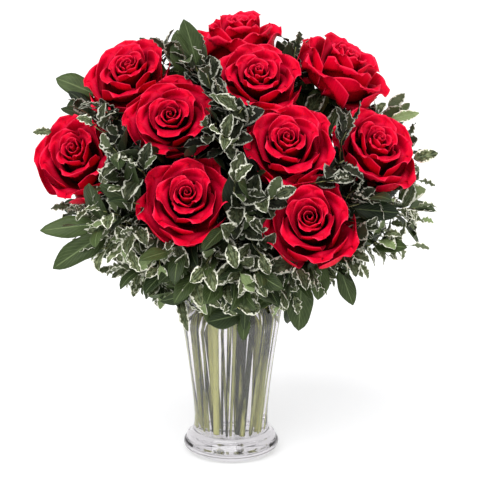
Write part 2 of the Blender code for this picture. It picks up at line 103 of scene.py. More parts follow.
# bloom place as shares of the bouquet's radius and rise, then the way it faces
roses = [
    ((0.05, 0.39, 0.995), (0.00, -0.15, 1.00)),
    ((-0.67, 0.14, 0.895), (-0.30, -0.55, 0.85)),
    ((0.70, 0.125, 0.90), (0.45, -0.25, 0.85)),
    ((0.175, -0.125, 0.91), (0.08, -0.60, 0.80)),
    ((-0.37, -0.26, 0.755), (-0.12, -0.75, 0.70)),
    ((-0.97, -0.06, 0.505), (-0.45, -0.75, 0.60)),
    ((0.355, -0.425, 0.63), (0.10, -0.75, 0.70)),
    ((0.915, -0.125, 0.56), (0.40, -0.62, 0.70)),
    ((-0.27, -0.594, 0.405), (-0.08, -0.85, 0.55)),
    ((0.505, -0.60, 0.28), (0.10, -0.88, 0.45)),
    ((-0.42, 0.56, 0.60), (-0.45, 0.70, 0.65)),
    ((0.40, 0.62, 0.50), (0.40, 0.75, 0.60)),
]

# tip place in the same shares, then how steeply the tip points, in degrees
sprigs = [
    ((-0.58, -0.33, -0.14), -60),
    ((-0.34, -0.44, -0.22), -68),
    ((-0.72, -0.42, 0.17), -15),
    ((-0.68, -0.32, 0.50), 35),
    ((-0.84, -0.02, 0.80), 45),
    ((-0.50, 0.42, 1.06), 70),
    ((-0.17, 0.34, 1.03), 75),
    ((-0.06, -0.46, 0.74), 45),
    ((0.06, -0.72, 0.42), 20),
    ((0.68, -0.34, 0.77), 50),
    ((1.28, -0.20, 0.30), 5),
    ((1.21, 0.16, 0.52), 25),
    ((1.04, -0.32, 0.08), -25),
    ((0.80, -0.58, 0.10), -25),
    ((0.45, 0.18, 0.98), 70),
    ((-0.80, 0.46, 0.34), 10),
    ((0.05, 0.86, 0.42), 20),
    ((0.78, 0.56, 0.40), 15),
]

branches = [
    ((0.45, -0.43, -0.20), -70),
    ((0.10, -0.50, -0.20), -72),
    ((-0.12, -0.50, -0.14), -60),
    ((0.74, -0.40, -0.08), -35),
    ((-1.04, -0.16, 0.14), -5),
    ((-1.04, 0.10, 0.78), 30),
    ((-0.30, 0.26, 1.00), 65),
    ((0.12, -0.62, 0.12), -15),
    ((-0.45, 0.72, 0.10), -15),
    ((0.42, 0.74, 0.08), -15),
    ((0.02, 0.66, 0.86), 50),
]


def outerRadius(height):
    share = max(height - vase["waistLevel"], 0.0) / (vase["height"] - vase["waistLevel"])
    return vase["waist"] + (vase["mouth"] - vase["waist"]) * share ** vase["flare"]


def innerRadius(height):
    return outerRadius(height) - vase["wall"]


def bouquetPlace(share):
    x, y, z = share
    radius, rise = bouquet["radius"], bouquet["rise"]
    return Vector((x * radius, y * radius, vase["height"] + z * rise))


def partBlooms(centres):
    # blooms that would touch move apart, each by half
    least = 2 * bouquet["bloomRadius"] * bouquet["bloomRound"] + bouquet["bloomGap"]
    centres = [c.copy() for c in centres]
    for _ in range(bouquet["spreadSteps"]):
        for i, centre in enumerate(centres):
            for j in range(i):
                between = centre - centres[j]
                if between.length < least:
                    push = between.normalized() * (least - between.length) * 0.52
                    centre += push
                    centres[j] -= push
    return centres


def wallLimits(radius):
    # how far out a straight stem may stand on the floor and at the mouth
    room = radius + bouquet["stemGap"]
    foot = innerRadius(vase["waistLevel"]) - room - vase["floorCorner"] / 2
    mouth = innerRadius(vase["height"]) - room
    for i in range(2, 40):
        share = i / 40
        level = vase["floor"] + (vase["height"] - vase["floor"]) * share
        mouth = min(mouth, (innerRadius(level) - room - foot * (1 - share)) / share)
    return foot, mouth


def spreadApart(places, radii, limit):
    grow = limit[1] / limit[0]
    places = [Vector(p) for p in places]
    for _ in range(bouquet["spreadSteps"]):
        for i, place in enumerate(places):
            for j in range(i):
                between = place - places[j]
                least = (radii[i] + radii[j] + bouquet["stemGap"]) * grow
                if between.length < least:
                    push = between.normalized() * (least - between.length) * 0.52
                    place += push
                    places[j] -= push
        for place in places:
            if place.length > limit[1]:
                place *= limit[1] / place.length
    return places


def mouthPlaces(targets, radii):
    # each stem leaves the mouth on the side where its head is
    limit = wallLimits(max(radii))
    wanted = []
    for target in targets:
        side = Vector((target.x, target.y))
        share = min(side.length / (bouquet["radius"] * 1.05), 1.0) ** 0.85
        wanted.append(side.normalized() * limit[1] * share)
    return spreadApart(wanted, radii, limit), limit


def footPlace(mouth, limit, radius):
    foot = Matrix.Rotation(-bouquet["twist"], 2) @ mouth * (limit[0] / limit[1])
    return Vector((foot.x, foot.y, vase["floor"] + bouquet["fitGap"] + radius * 0.25))


def sampleShares(knots, samples):
    shares = np.zeros((samples, knots))
    for row, at in enumerate(np.linspace(0, knots - 1, samples)):
        low = min(int(at), knots - 2)
        shares[row, low] = 1 - (at - low)
        shares[row, low + 1] = at - low
    return shares


def nearestPush(points, others, reach):
    # only what lies within reach of the route can push it
    if len(others) == 0:
        return np.zeros_like(points)
    far = reach.max()
    near = ((others > points.min(0) - far) & (others < points.max(0) + far)).all(axis=1)
    others, reach = others[near], reach[near]
    if len(others) == 0:
        return np.zeros_like(points)
    between = points[:, None, :] - others[None, :, :]
    distance = np.linalg.norm(between, axis=2)
    nearest = (distance - reach[None, :]).argmin(axis=1)
    rows = np.arange(len(points))
    short = np.maximum(reach[nearest] - distance[rows, nearest], 0.0)
    way = between[rows, nearest] / np.maximum(distance[rows, nearest], 1e-9)[:, None]
    return way * short[:, None]


def rimPush(points, radius):
    push = np.zeros_like(points)
    room = radius + bouquet["stemGap"]
    for i, (x, y, z) in enumerate(points):
        around = math.hypot(x, y)
        if z >= vase["height"] + room or around < innerRadius(vase["height"]) - room:
            continue
        over = vase["height"] + room - z
        out = outerRadius(min(z, vase["height"])) + room - around
        if out <= 0:
            continue
        if over < out:
            push[i, 2] = over
        else:
            push[i, :2] = points[i, :2] / around * out
    return push


def settleRoute(route, radius, stems, blooms, heldEnd):
    # loose knots move until the stem is clear of blooms, rim and other stems
    knots = np.array([tuple(p) for p in route])
    shares = sampleShares(len(knots), bouquet["samples"])
    others = np.concatenate([places for places, _ in stems]) if stems else np.zeros((0, 3))
    reach = np.concatenate([wide for _, wide in stems]) if stems else np.zeros(0)
    reach = reach + radius + bouquet["stemGap"]
    centres = np.array([tuple(b) for b in blooms])
    ball = bouquet["bloomRadius"] * bouquet["bloomRound"] + radius + bouquet["bloomGap"]
    free = np.ones((len(knots), 1))
    free[0] = 0.0
    if heldEnd:
        free[-1] = 0.0
    for step in range(bouquet["settleSteps"]):
        points = shares @ knots
        push = nearestPush(points, others, reach)
        push += nearestPush(points, centres, np.full(len(centres), ball))
        push += rimPush(points, radius)
        pushed = (np.abs(push).sum(axis=1) > 0).astype(float)
        weight = np.maximum(shares.T @ pushed, 0.5)[:, None]
        knots += (shares.T @ push) / weight * free
        if step < bouquet["settleSteps"] // 2:
            smooth = knots.copy()
            smooth[1:-1] = (knots[:-2] + 2 * knots[1:-1] + knots[2:]) / 4
            knots += (smooth - knots) * free * 0.12
    return [Vector(k) for k in knots]


def stemSamples(points, radii):
    shares = sampleShares(len(points), bouquet["samples"] * 2)
    return shares @ np.array([tuple(p) for p in points]), shares @ np.array(radii)


def archingRoute(mouth, foot, end, endWay, rise):
    start = Vector((mouth.x, mouth.y, vase["height"]))
    way = (start - foot).normalized()
    reach = (end - start).length
    leave = start + way * reach * rise
    arrive = end - endWay.normalized() * reach * bouquet["arrive"]
    return interpolate_bezier(start, leave, arrive, end, bouquet["knots"])


def planBouquet():
    # bloom centres and ways, then the route of every sprig and branch
    ways = [Vector(way).normalized() for _, way in roses]
    centres = partBlooms([bouquetPlace(share) for share, _ in roses])
    rows, tips = [], []
    kinds = (
        ("variegated_sprig", sprigs, bouquet["sprigLeaf"]),
        ("leaf_branch", branches, bouquet["branchLeaf"]),
    )
    for kind, places, leaf in kinds:
        for i, (share, steep) in enumerate(places, 1):
            rows.append((f"{kind}_{i:02d}", leaf, math.radians(steep)))
            tips.append(bouquetPlace(share))
    count = len(centres)
    radii = [bouquet["roseStem"]] * count + [bouquet["leafStem"]] * len(tips)
    mouths, limit = mouthPlaces(centres + tips, radii)
    feet = [footPlace(m, limit, r) for m, r in zip(mouths, radii)]
    stems = []
    for i, (centre, way) in enumerate(zip(centres, ways)):
        hip = centre - way * (bouquet["bloomHeight"] / 2 + bouquet["fitGap"] + bouquet["hip"])
        route = archingRoute(mouths[i], feet[i], hip, way, bouquet["roseRise"])
        route = settleRoute(route, bouquet["roseStem"], stems, centres[:i] + centres[i + 1 :], True)
        points = [*route, route[-1] + way * bouquet["hip"] * 0.5, route[-1] + way * bouquet["hip"]]
        hipRadius = bouquet["hipRadius"]
        wide = [bouquet["roseStem"]] * (len(points) - 2) + [hipRadius * 0.85, hipRadius]
        stems.append(stemSamples(points, wide))
    routes = []
    for (name, leaf, steep), tip, foot, mouth in zip(rows, tips, feet[count:], mouths[count:]):
        out = Vector((tip.x, tip.y, 0.0)).normalized()
        way = out * math.cos(steep) + Vector((0, 0, math.sin(steep)))
        rise = bouquet["sprigRise"] if steep > 0 else bouquet["hangingRise"]
        route = archingRoute(mouth, foot, tip - way * leaf, way, rise)
        route = settleRoute(route, bouquet["leafStem"], stems, centres, False)
        stems.append(stemSamples(route, [bouquet["leafStem"]] * len(route)))
        routes.append((name, [foot, *route]))
    return centres, ways, routes


# sheets with two faces and tubes are gathered into piles, one pile for each piece


def newPile():
    return {"points": [], "quads": [], "uv": [], "tint": [], "slot": [], "count": 0}


gridQuads = {}


def quadsOf(rows, cols):
    # front, back and rim of a sheet of rows x cols points
    if (rows, cols) not in gridQuads:
        index = np.arange(rows * cols).reshape(rows, cols)
        a, b = index[:-1, :-1].ravel(), index[:-1, 1:].ravel()
        c, d = index[1:, 1:].ravel(), index[1:, :-1].ravel()
        shift = rows * cols
        front = np.stack([a, b, c, d], axis=1)
        back = np.stack([d, c, b, a], axis=1) + shift
        loop = np.concatenate([index[0, :], index[1:, -1], index[-1, -2::-1], index[-2:0:-1, 0]])
        after = np.roll(loop, -1)
        rim = np.stack([loop, loop + shift, after + shift, after], axis=1)
        gridQuads[(rows, cols)] = np.concatenate([front, back, rim])
    return gridQuads[(rows, cols)]


def addSheet(pile, points, uv, thick, tint, slot):
    # points is rows x cols x 3; the front looks along the cross of across and up
    rows, cols, _ = points.shape
    up = np.gradient(points, axis=0)
    across = np.gradient(points, axis=1)
    normal = np.cross(across, up)
    normal /= np.maximum(np.linalg.norm(normal, axis=2, keepdims=True), 1e-12)
    half = normal * np.asarray(thick)[..., None] / 2
    both = np.concatenate([(points + half).reshape(-1, 3), (points - half).reshape(-1, 3)])
    pile["points"].append(both)
    pile["quads"].append(quadsOf(rows, cols) + pile["count"])
    flat = uv.reshape(-1, 2)
    pile["uv"].append(np.concatenate([flat, flat]))
    colour = np.tile(np.array([tint[0], 0.0, tint[1], tint[2]], float), (len(both), 1))
    colour[rows * cols :, 1] = 1.0
    pile["tint"].append(colour)
    pile["slot"].append(np.full(len(quadsOf(rows, cols)), slot))
    pile["count"] += len(both)


def addTube(pile, points, radii, sides, tint, slot):
    # a round stem through the points, with its ends closed to a point
    points = np.array([tuple(p) for p in points], float)
    radii = np.array(radii, float)
    ahead = np.gradient(points, axis=0)
    ahead = np.concatenate([ahead[:1], ahead, ahead[-1:]])
    ahead /= np.linalg.norm(ahead, axis=1, keepdims=True)
    points = np.concatenate([points[:1], points, points[-1:]])
    radii = np.concatenate([[0.00005], radii, [0.00005]])
    side = np.cross(ahead[0], (0.31, 0.87, 0.38))
    turns = np.linspace(0, 2 * math.pi, sides, endpoint=False)
    rings = []
    for place, way, radius in zip(points, ahead, radii):
        side = side - way * side.dot(way)
        side /= np.linalg.norm(side)
        other = np.cross(way, side)
        rings.append(place + radius * (np.cos(turns)[:, None] * side + np.sin(turns)[:, None] * other))
    rows = len(rings)
    index = np.arange(rows * sides).reshape(rows, sides)
    after = np.roll(index, -1, axis=1)
    quads = np.stack([index[:-1], after[:-1], after[1:], index[1:]], axis=2).reshape(-1, 4)
    pile["points"].append(np.array(rings).reshape(-1, 3))
    pile["quads"].append(quads + pile["count"])
    run = np.concatenate([[0.0], np.cumsum(np.linalg.norm(np.diff(points, axis=0), axis=1))])
    uv = np.stack(np.broadcast_arrays(np.linspace(0, 1, sides)[None, :], run[:, None] * 10), axis=2)
    pile["uv"].append(uv.reshape(-1, 2))
    pile["tint"].append(np.tile(np.array([tint[0], 0.0, tint[1], tint[2]], float), (rows * sides, 1)))
    pile["slot"].append(np.full(len(quads), slot))
    pile["count"] += rows * sides


def makePiece(name, pile, materials):
    points = np.concatenate(pile["points"])
    quads = np.concatenate(pile["quads"])
    mesh = bpy.data.meshes.new(name)
    mesh.from_pydata(points.tolist(), [], quads.tolist())
    for material in materials:
        mesh.materials.append(material)
    mesh.polygons.foreach_set("material_index", np.concatenate(pile["slot"]).astype(np.int32))
    mesh.polygons.foreach_set("use_smooth", np.ones(len(quads), bool))
    corners = np.zeros(len(mesh.loops), np.int32)
    mesh.loops.foreach_get("vertex_index", corners)
    sheet = mesh.uv_layers.new(name="sheet")
    sheet.data.foreach_set("uv", np.concatenate(pile["uv"])[corners].astype(np.float32).ravel())
    tint = mesh.attributes.new("tint", "FLOAT_COLOR", "POINT")
    tint.data.foreach_set("color", np.concatenate(pile["tint"]).astype(np.float32).ravel())
    mesh.update()
    made = bpy.data.objects.new(name, mesh)
    bpy.context.scene.collection.objects.link(made)
    return made


def shaderFor(name, values):
    material = bpy.data.materials.new(name)
    material.use_nodes = True
    shader = material.node_tree.nodes["Principled BSDF"]
    for socket, value in values.items():
        shader.inputs[socket].default_value = value
    return material, material.node_tree, shader


def addNode(tree, kind, settings=None, inputs=None):
    made = tree.nodes.new(kind)
    for key, value in (settings or {}).items():
        setattr(made, key, value)
    for key, value in (inputs or {}).items():
        if isinstance(value, bpy.types.NodeSocket):
            tree.links.new(value, made.inputs[key])
        else:
            made.inputs[key].default_value = value
    return made


def sums(tree, operation, a, b=0.0, c=0.0):
    settings = {"operation": operation}
    return addNode(tree, "ShaderNodeMath", settings, {0: a, 1: b, 2: c}).outputs[0]


def ranged(tree, value, low, high, toLow=0.0, toHigh=1.0):
    inputs = {"Value": value, "From Min": low, "From Max": high, "To Min": toLow, "To Max": toHigh}
    return addNode(tree, "ShaderNodeMapRange", {"interpolation_type": "SMOOTHSTEP"}, inputs).outputs[0]


def blended(tree, factor, a, b, kind="MIX"):
    made = addNode(tree, "ShaderNodeMix", {"data_type": "RGBA", "blend_type": kind})
    for key, value in ((0, factor), (6, a), (7, b)):
        if isinstance(value, bpy.types.NodeSocket):
            tree.links.new(value, made.inputs[key])
        elif key == 0:
            made.inputs[key].default_value = value
        else:
            made.inputs[key].default_value = (*value, 1.0)
    return made.outputs[2]


def sheetFacts(tree):
    # across and up on the sheet, distance from its margin, and what the tint holds: the shade layer for
    # painted shade, front or back, and a random chance
    uv = addNode(tree, "ShaderNodeUVMap", {"uv_map": "sheet"}).outputs[0]
    apart = addNode(tree, "ShaderNodeSeparateXYZ", None, {0: uv})
    tint = addNode(tree, "ShaderNodeAttribute", {"attribute_name": "tint"})
    split = addNode(tree, "ShaderNodeSeparateColor", None, {0: tint.outputs["Color"]})
    off = sums(tree, "ABSOLUTE", sums(tree, "MULTIPLY_ADD", apart.outputs[0], 2.0, -1.0))
    return {
        "across": apart.outputs[0],
        "up": apart.outputs[1],
        "off": off,
        "edge": sums(tree, "SUBTRACT", 1.0, off),
        "shadeLayer": split.outputs[0],
        "back": split.outputs[1],
        "chance": split.outputs[2],
    }


def noiseOn(tree, x, y, z, scale, detail=2.0):
    vector = addNode(tree, "ShaderNodeCombineXYZ", None, {0: x, 1: y, 2: z}).outputs[0]
    inputs = {"Vector": vector, "Scale": scale, "Detail": detail}
    return addNode(tree, "ShaderNodeTexNoise", None, inputs).outputs[0]


def rampOf(tree, value, stops):
    made = addNode(tree, "ShaderNodeValToRGB", None, {0: value})
    ramp = made.color_ramp
    while len(ramp.elements) < len(stops):
        ramp.elements.new(0.5)
    for element, (at, colour) in zip(ramp.elements, stops):
        element.position = at
        element.color = (*colour, 1.0)
    return made.outputs[0]


def bumpFrom(tree, shader, height, strength, distance):
    inputs = {"Height": height, "Strength": strength, "Distance": distance}
    bump = addNode(tree, "ShaderNodeBump", None, inputs)
    tree.links.new(bump.outputs[0], shader.inputs["Normal"])


# colours up a petal: deep and low are painted shade at the petal's foot and deep in the bloom, lip is
# painted light towards the top edge, rim is a painted highlight, and face and back are the petal's own red
petalLook = {
    "deep": (0.030, 0.0, 0.001),
    "low": (0.20, 0.0, 0.003),
    "face": (0.62, 0.0, 0.012),
    "lip": (0.86, 0.0, 0.032),
    "rim": (0.95, 0.035, 0.10),
    "back": (0.54, 0.001, 0.030),
}


def petalMaterial():
    values = {"Roughness": 0.55, "Specular IOR Level": 0.07, "Sheen Weight": 0.02, "Sheen Roughness": 0.35}
    values["Sheen Tint"] = (1.0, 0.12, 0.20, 1.0)
    material, tree, shader = shaderFor("velvet_petal", values)
    at = sheetFacts(tree)
    look = petalLook
    # painted shade deep in the bloom: the further in a petal stands, the more of its length takes the dark
    # foot colours, and both faces lighten to the painted light of the lip at the top
    inner = sums(tree, "MULTIPLY", sums(tree, "SUBTRACT", 1.0, at["shadeLayer"]), 0.72)
    up = sums(tree, "DIVIDE", sums(tree, "SUBTRACT", at["up"], inner), sums(tree, "SUBTRACT", 1.0, inner))
    stops = [(0.0, look["deep"]), (0.34, look["low"]), (0.68, look["face"]), (0.95, look["lip"])]
    face = rampOf(tree, up, stops)
    backStops = [(0.0, look["deep"]), (0.30, look["low"]), (0.62, look["back"]), (1.0, look["lip"])]
    colour = blended(tree, at["back"], face, rampOf(tree, up, backStops))
    # painted shade: the petals of the heart are darkened as a whole
    heartShade = ranged(tree, at["shadeLayer"], 0.0, 0.45, 0.80, 1.0)
    shift = sums(tree, "MULTIPLY", at["chance"], 31.0)
    across = sums(tree, "MULTIPLY", at["across"], 26.0)
    along = sums(tree, "MULTIPLY", at["up"], 2.2)
    streak = noiseOn(tree, across, along, shift, 1.6, 3.0)
    cloud = noiseOn(tree, at["across"], at["up"], shift, 2.6)
    streaked = ranged(tree, streak, 0.25, 0.75, 0.86, 1.06)
    # shade is the petal's own veins and blotches, then times heartShade the painted shade of the heart
    shade = sums(tree, "MULTIPLY", streaked, ranged(tree, cloud, 0.2, 0.8, 0.82, 1.08))
    shade = sums(tree, "MULTIPLY", shade, heartShade)
    grey = addNode(tree, "ShaderNodeCombineColor", None, {0: shade, 1: shade, 2: shade}).outputs[0]
    colour = blended(tree, 1.0, colour, grey, "MULTIPLY")
    # painted highlight: a light line along the top edge and the sides of the upper part of each petal
    rim = sums(tree, "MAXIMUM", ranged(tree, at["up"], 0.955, 0.995), ranged(tree, at["off"], 0.955, 0.995))
    rim = sums(tree, "MULTIPLY", rim, ranged(tree, at["up"], 0.45, 0.70, 0.0, 0.62))
    colour = blended(tree, rim, colour, look["rim"])
    tree.links.new(colour, shader.inputs["Base Color"])
    bumpFrom(tree, shader, streak, 0.22, 0.0006)
    return material


sprigLook = {
    "cream": (0.82, 0.82, 0.68),
    "sage": (0.210, 0.240, 0.125),
    "olive": (0.062, 0.074, 0.030),
    "deep": (0.016, 0.024, 0.010),
    "rib": (0.11, 0.15, 0.08),
    "back": (0.120, 0.145, 0.078),
}


def veinWaves(tree, at, count, lean):
    # side veins that leave the midrib at a slant, 0 between and 1 on a vein
    run = sums(tree, "MULTIPLY_ADD", at["off"], -lean, at["up"])
    wave = sums(tree, "SINE", sums(tree, "MULTIPLY", run, count * 2 * math.pi))
    return ranged(tree, wave, 0.72, 1.0)


def variegatedMaterial():
    values = {"Roughness": 0.50, "Specular IOR Level": 0.10}
    material, tree, shader = shaderFor("variegated_leaf", values)
    at = sheetFacts(tree)
    look = sprigLook
    shift = sums(tree, "MULTIPLY", at["chance"], 47.0)
    outward = sums(tree, "MULTIPLY", at["off"], 1.6)
    patch = noiseOn(tree, outward, sums(tree, "MULTIPLY", at["up"], 2.4), shift, 2.2)
    green = rampOf(tree, patch, [(0.30, look["deep"]), (0.50, look["olive"]), (0.68, look["sage"])])
    side = sums(tree, "GREATER_THAN", at["across"], 0.5)
    feather = noiseOn(tree, side, sums(tree, "MULTIPLY", at["up"], 6.0), shift, 2.0, 3.0)
    border = ranged(tree, feather, 0.30, 0.78, 0.08, 0.46)
    cream = ranged(tree, sums(tree, "SUBTRACT", at["edge"], border), -0.035, 0.035, 1.0, 0.0)
    cream = sums(tree, "MULTIPLY", cream, ranged(tree, at["up"], 0.10, 0.22))
    vein = sums(tree, "MULTIPLY", veinWaves(tree, at, 7.0, 0.32), 0.35)
    green = blended(tree, vein, green, look["sage"])
    rib = ranged(tree, at["off"], 0.03, 0.10, 0.85, 0.0)
    green = blended(tree, rib, green, look["rib"])
    green = blended(tree, sums(tree, "MULTIPLY", at["back"], 0.75), green, look["back"])
    pale = sums(tree, "GREATER_THAN", at["chance"], 0.86)
    green = blended(tree, sums(tree, "MULTIPLY", pale, 0.55), green, (0.30, 0.40, 0.17))
    # painted shade, and on outer leaves a little painted light, from the leaf's place in the bouquet, on
    # the green
    green = darkened(tree, green, at["shadeLayer"])
    colour = blended(tree, cream, green, look["cream"])
    # the same painted shade and light again, now on the cream margin too
    colour = darkened(tree, colour, at["shadeLayer"])
    tree.links.new(colour, shader.inputs["Base Color"])
    height = sums(tree, "ADD", veinWaves(tree, at, 7.0, 0.32), ranged(tree, at["off"], 0.0, 0.12, 1.0, 0.0))
    bumpFrom(tree, shader, height, 0.35, 0.0005)
    return material


branchLook = {
    "dark": (0.008, 0.018, 0.007),
    "green": (0.025, 0.040, 0.012),
    "light": (0.064, 0.096, 0.030),
    "rib": (0.15, 0.20, 0.085),
    "back": (0.085, 0.110, 0.062),
}


# multiplies a colour by a grey factor; here that factor is painted shade, and painted light where it is
# over one
def darkened(tree, colour, factor):
    grey = addNode(tree, "ShaderNodeCombineColor", None, {0: factor, 1: factor, 2: factor}).outputs[0]
    return blended(tree, 1.0, colour, grey, "MULTIPLY")


def plainLeafMaterial():
    values = {"Roughness": 0.42, "Specular IOR Level": 0.16}
    material, tree, shader = shaderFor("plain_leaf", values)
    at = sheetFacts(tree)
    look = branchLook
    shift = sums(tree, "MULTIPLY", at["chance"], 53.0)
    cloud = noiseOn(tree, at["off"], sums(tree, "MULTIPLY", at["up"], 2.0), shift, 2.4, 3.0)
    tone = sums(tree, "MULTIPLY_ADD", cloud, 0.45, sums(tree, "MULTIPLY", at["chance"], 0.55))
    green = rampOf(tree, tone, [(0.18, look["dark"]), (0.48, look["green"]), (0.80, look["light"])])
    green = blended(tree, sums(tree, "MULTIPLY", at["back"], 0.85), green, look["back"])
    vein = veinWaves(tree, at, 8.0, 0.42)
    green = blended(tree, sums(tree, "MULTIPLY", vein, 0.22), green, look["rib"])
    rib = ranged(tree, at["off"], 0.025, 0.085, 0.85, 0.0)
    green = blended(tree, rib, green, look["rib"])
    rim = ranged(tree, at["off"], 0.93, 0.99, 0.0, 0.35)
    green = blended(tree, rim, green, look["rib"])
    # painted shade, and on outer leaves a little painted light, from the leaf's place in the bouquet
    green = darkened(tree, green, at["shadeLayer"])
    tree.links.new(green, shader.inputs["Base Color"])
    height = sums(tree, "ADD", vein, ranged(tree, at["off"], 0.0, 0.10, 1.6, 0.0))
    bumpFrom(tree, shader, height, 0.4, 0.0006)
    return material


def stemMaterial(name, dark, light, roughness, shift=0.0):
    # fibres run along the stem, tone changes from stem to stem, and above the rim, among the leaves,
    # painted shade makes it darker
    material, tree, shader = shaderFor(name, {"Roughness": roughness, "Specular IOR Level": 0.14})
    place = addNode(tree, "ShaderNodeNewGeometry").outputs["Position"]
    apart = addNode(tree, "ShaderNodeSeparateXYZ", None, {0: place})
    slow = sums(tree, "MULTIPLY", apart.outputs[2], 0.10)
    broad = noiseOn(tree, apart.outputs[0], apart.outputs[1], slow, 105.0, 1.0)
    fine = noiseOn(tree, apart.outputs[0], apart.outputs[1], slow, 900.0, 2.0)
    tone = sums(tree, "MULTIPLY_ADD", fine, 0.10, sums(tree, "MULTIPLY_ADD", broad, 0.50, 0.20 + shift))
    colour = rampOf(tree, tone, [(0.45, dark), (0.54, light)])
    # painted shade: darker above the rim, where the leaves close over the stems
    colour = darkened(tree, colour, ranged(tree, apart.outputs[2], 0.165, 0.205, 1.0, 0.22))
    tree.links.new(colour, shader.inputs["Base Color"])
    bumpFrom(tree, shader, fine, 0.15, 0.0004)
    return material


def glassMaterial():
    values = {
        "Base Color": (0.985, 0.975, 0.99, 1.0),
        "Roughness": 0.0,
        "IOR": 1.47,
        "Transmission Weight": 1.0,
    }
    material, tree, _ = shaderFor("clear_glass", values)
    inputs = {"Color": (0.60, 0.56, 0.60, 1.0), "Density": 5.0}
    absorb = addNode(tree, "ShaderNodeVolumeAbsorption", None, inputs)
    out = tree.nodes["Material Output"]
    tree.links.new(absorb.outputs[0], out.inputs["Volume"])
    return material


def waterMaterial():
    values = {
        "Base Color": (0.99, 0.995, 0.99, 1.0),
        "Roughness": 0.0,
        "IOR": 1.333,
        "Transmission Weight": 1.0,
    }
    material, tree, _ = shaderFor("vase_water", values)
    inputs = {"Color": (0.80, 0.78, 0.78, 1.0), "Density": 13.0}
    absorb = addNode(tree, "ShaderNodeVolumeAbsorption", None, inputs)
    tree.links.new(absorb.outputs[0], tree.nodes["Material Output"].inputs["Volume"])
    return material


# each bloom is built petal by petal, from the heart outwards

bloomShape = {
    "ringRadius": [
        *(1.3, 2.3, 3.3, 4.3, 5.4, 6.5, 7.7, 9.0, 10.4, 12.0, 14.0),
        *(16.4, 19.0, 21.8, 24.6, 27.2, 29.6, 31.8, 33.6, 34.8, 35.8),
    ],
    "tipHeight": [
        *(51, 51.4, 51.8, 52.3, 52.8, 53.4, 54, 54.6, 55.2, 55.8, 56.4),
        *(56.8, 56.4, 55, 53.5, 52, 50, 47.5, 45, 43, 41),
    ],
    "halfTurn": (1.85, 1.16),  # from the heart to the guard petals, in radians
    "lean": (-7.0, 34.0),  # outward lean at the tip, in degrees
    "rollAt": (0.95, 0.60),  # where the shoulders begin to roll back
    "rollRadius": (1.0, 6.4),
    "shoulder": (0.07, 0.26),  # how much lower the sides end than the tip
    "point": 0.085,
    "wave": (0.0, 0.5),
    "thick": 0.36,
    "rows": 20,
    "cols": 19,
}

# how open each bloom is, how hollow its heart is, how tall it is, how its petals lean,
# and where its head nods while its foot stays on the stem, in millimetres
bloomMoods = [
    (0.92, 0.4, 1.10, 0.25, (0, 0, 0)),
    (0.99, 1.0, 0.98, 1.00, (10, 0, -5)),
    (1.00, 0.2, 1.12, 1.40, (-5, 0, -3)),
    (0.92, 0.6, 1.06, 0.55, (-3, 0, -9)),
    (0.95, 1.0, 1.02, 0.95, (4, -2, -10)),
    (1.02, 0.6, 1.03, 0.80, (9, 0, 3)),
    (0.97, 0.9, 1.00, 1.05, (-5, 0, -1)),
    (0.96, 0.4, 1.08, 0.60, (-10, 0, -1)),
    (0.91, 1.2, 1.00, 0.85, (4, 0, 2)),
    (0.96, 2.8, 0.98, 1.15, (-9, 0, 8)),
    (1.00, 1.0, 1.00, 1.00, (0, 0, 0)),
    (1.00, 1.0, 1.00, 1.00, (0, 0, 0)),
]


def between(pair, share):
    return pair[0] + (pair[1] - pair[0]) * share


def cupProfile(radius, tip, lean):
    # radius and height along a petal's middle, from its foot to past its tip
    foot = 2.0
    belly = min(16.0, tip * 0.36)
    turn = np.linspace(0, math.pi / 2, 24)
    r = foot + (radius - foot) * np.sin(turn)
    z = belly * (1 - np.cos(turn))
    steps = 60
    rest = (tip * 1.5 - belly) / steps
    lean0 = math.radians(min(lean, 0.0) * 0.3)
    for i in range(steps):
        share = min(i * rest / (tip - belly), 1.2)
        angle = lean0 + (math.radians(lean) - lean0) * share**1.5
        r = np.append(r, r[-1] + rest * math.sin(angle))
        z = np.append(z, z[-1] + rest * math.cos(angle))
    run = np.concatenate([[0.0], np.cumsum(np.hypot(np.diff(r), np.diff(z)))])
    length = np.interp(tip, z, run)
    return r, z, run, length


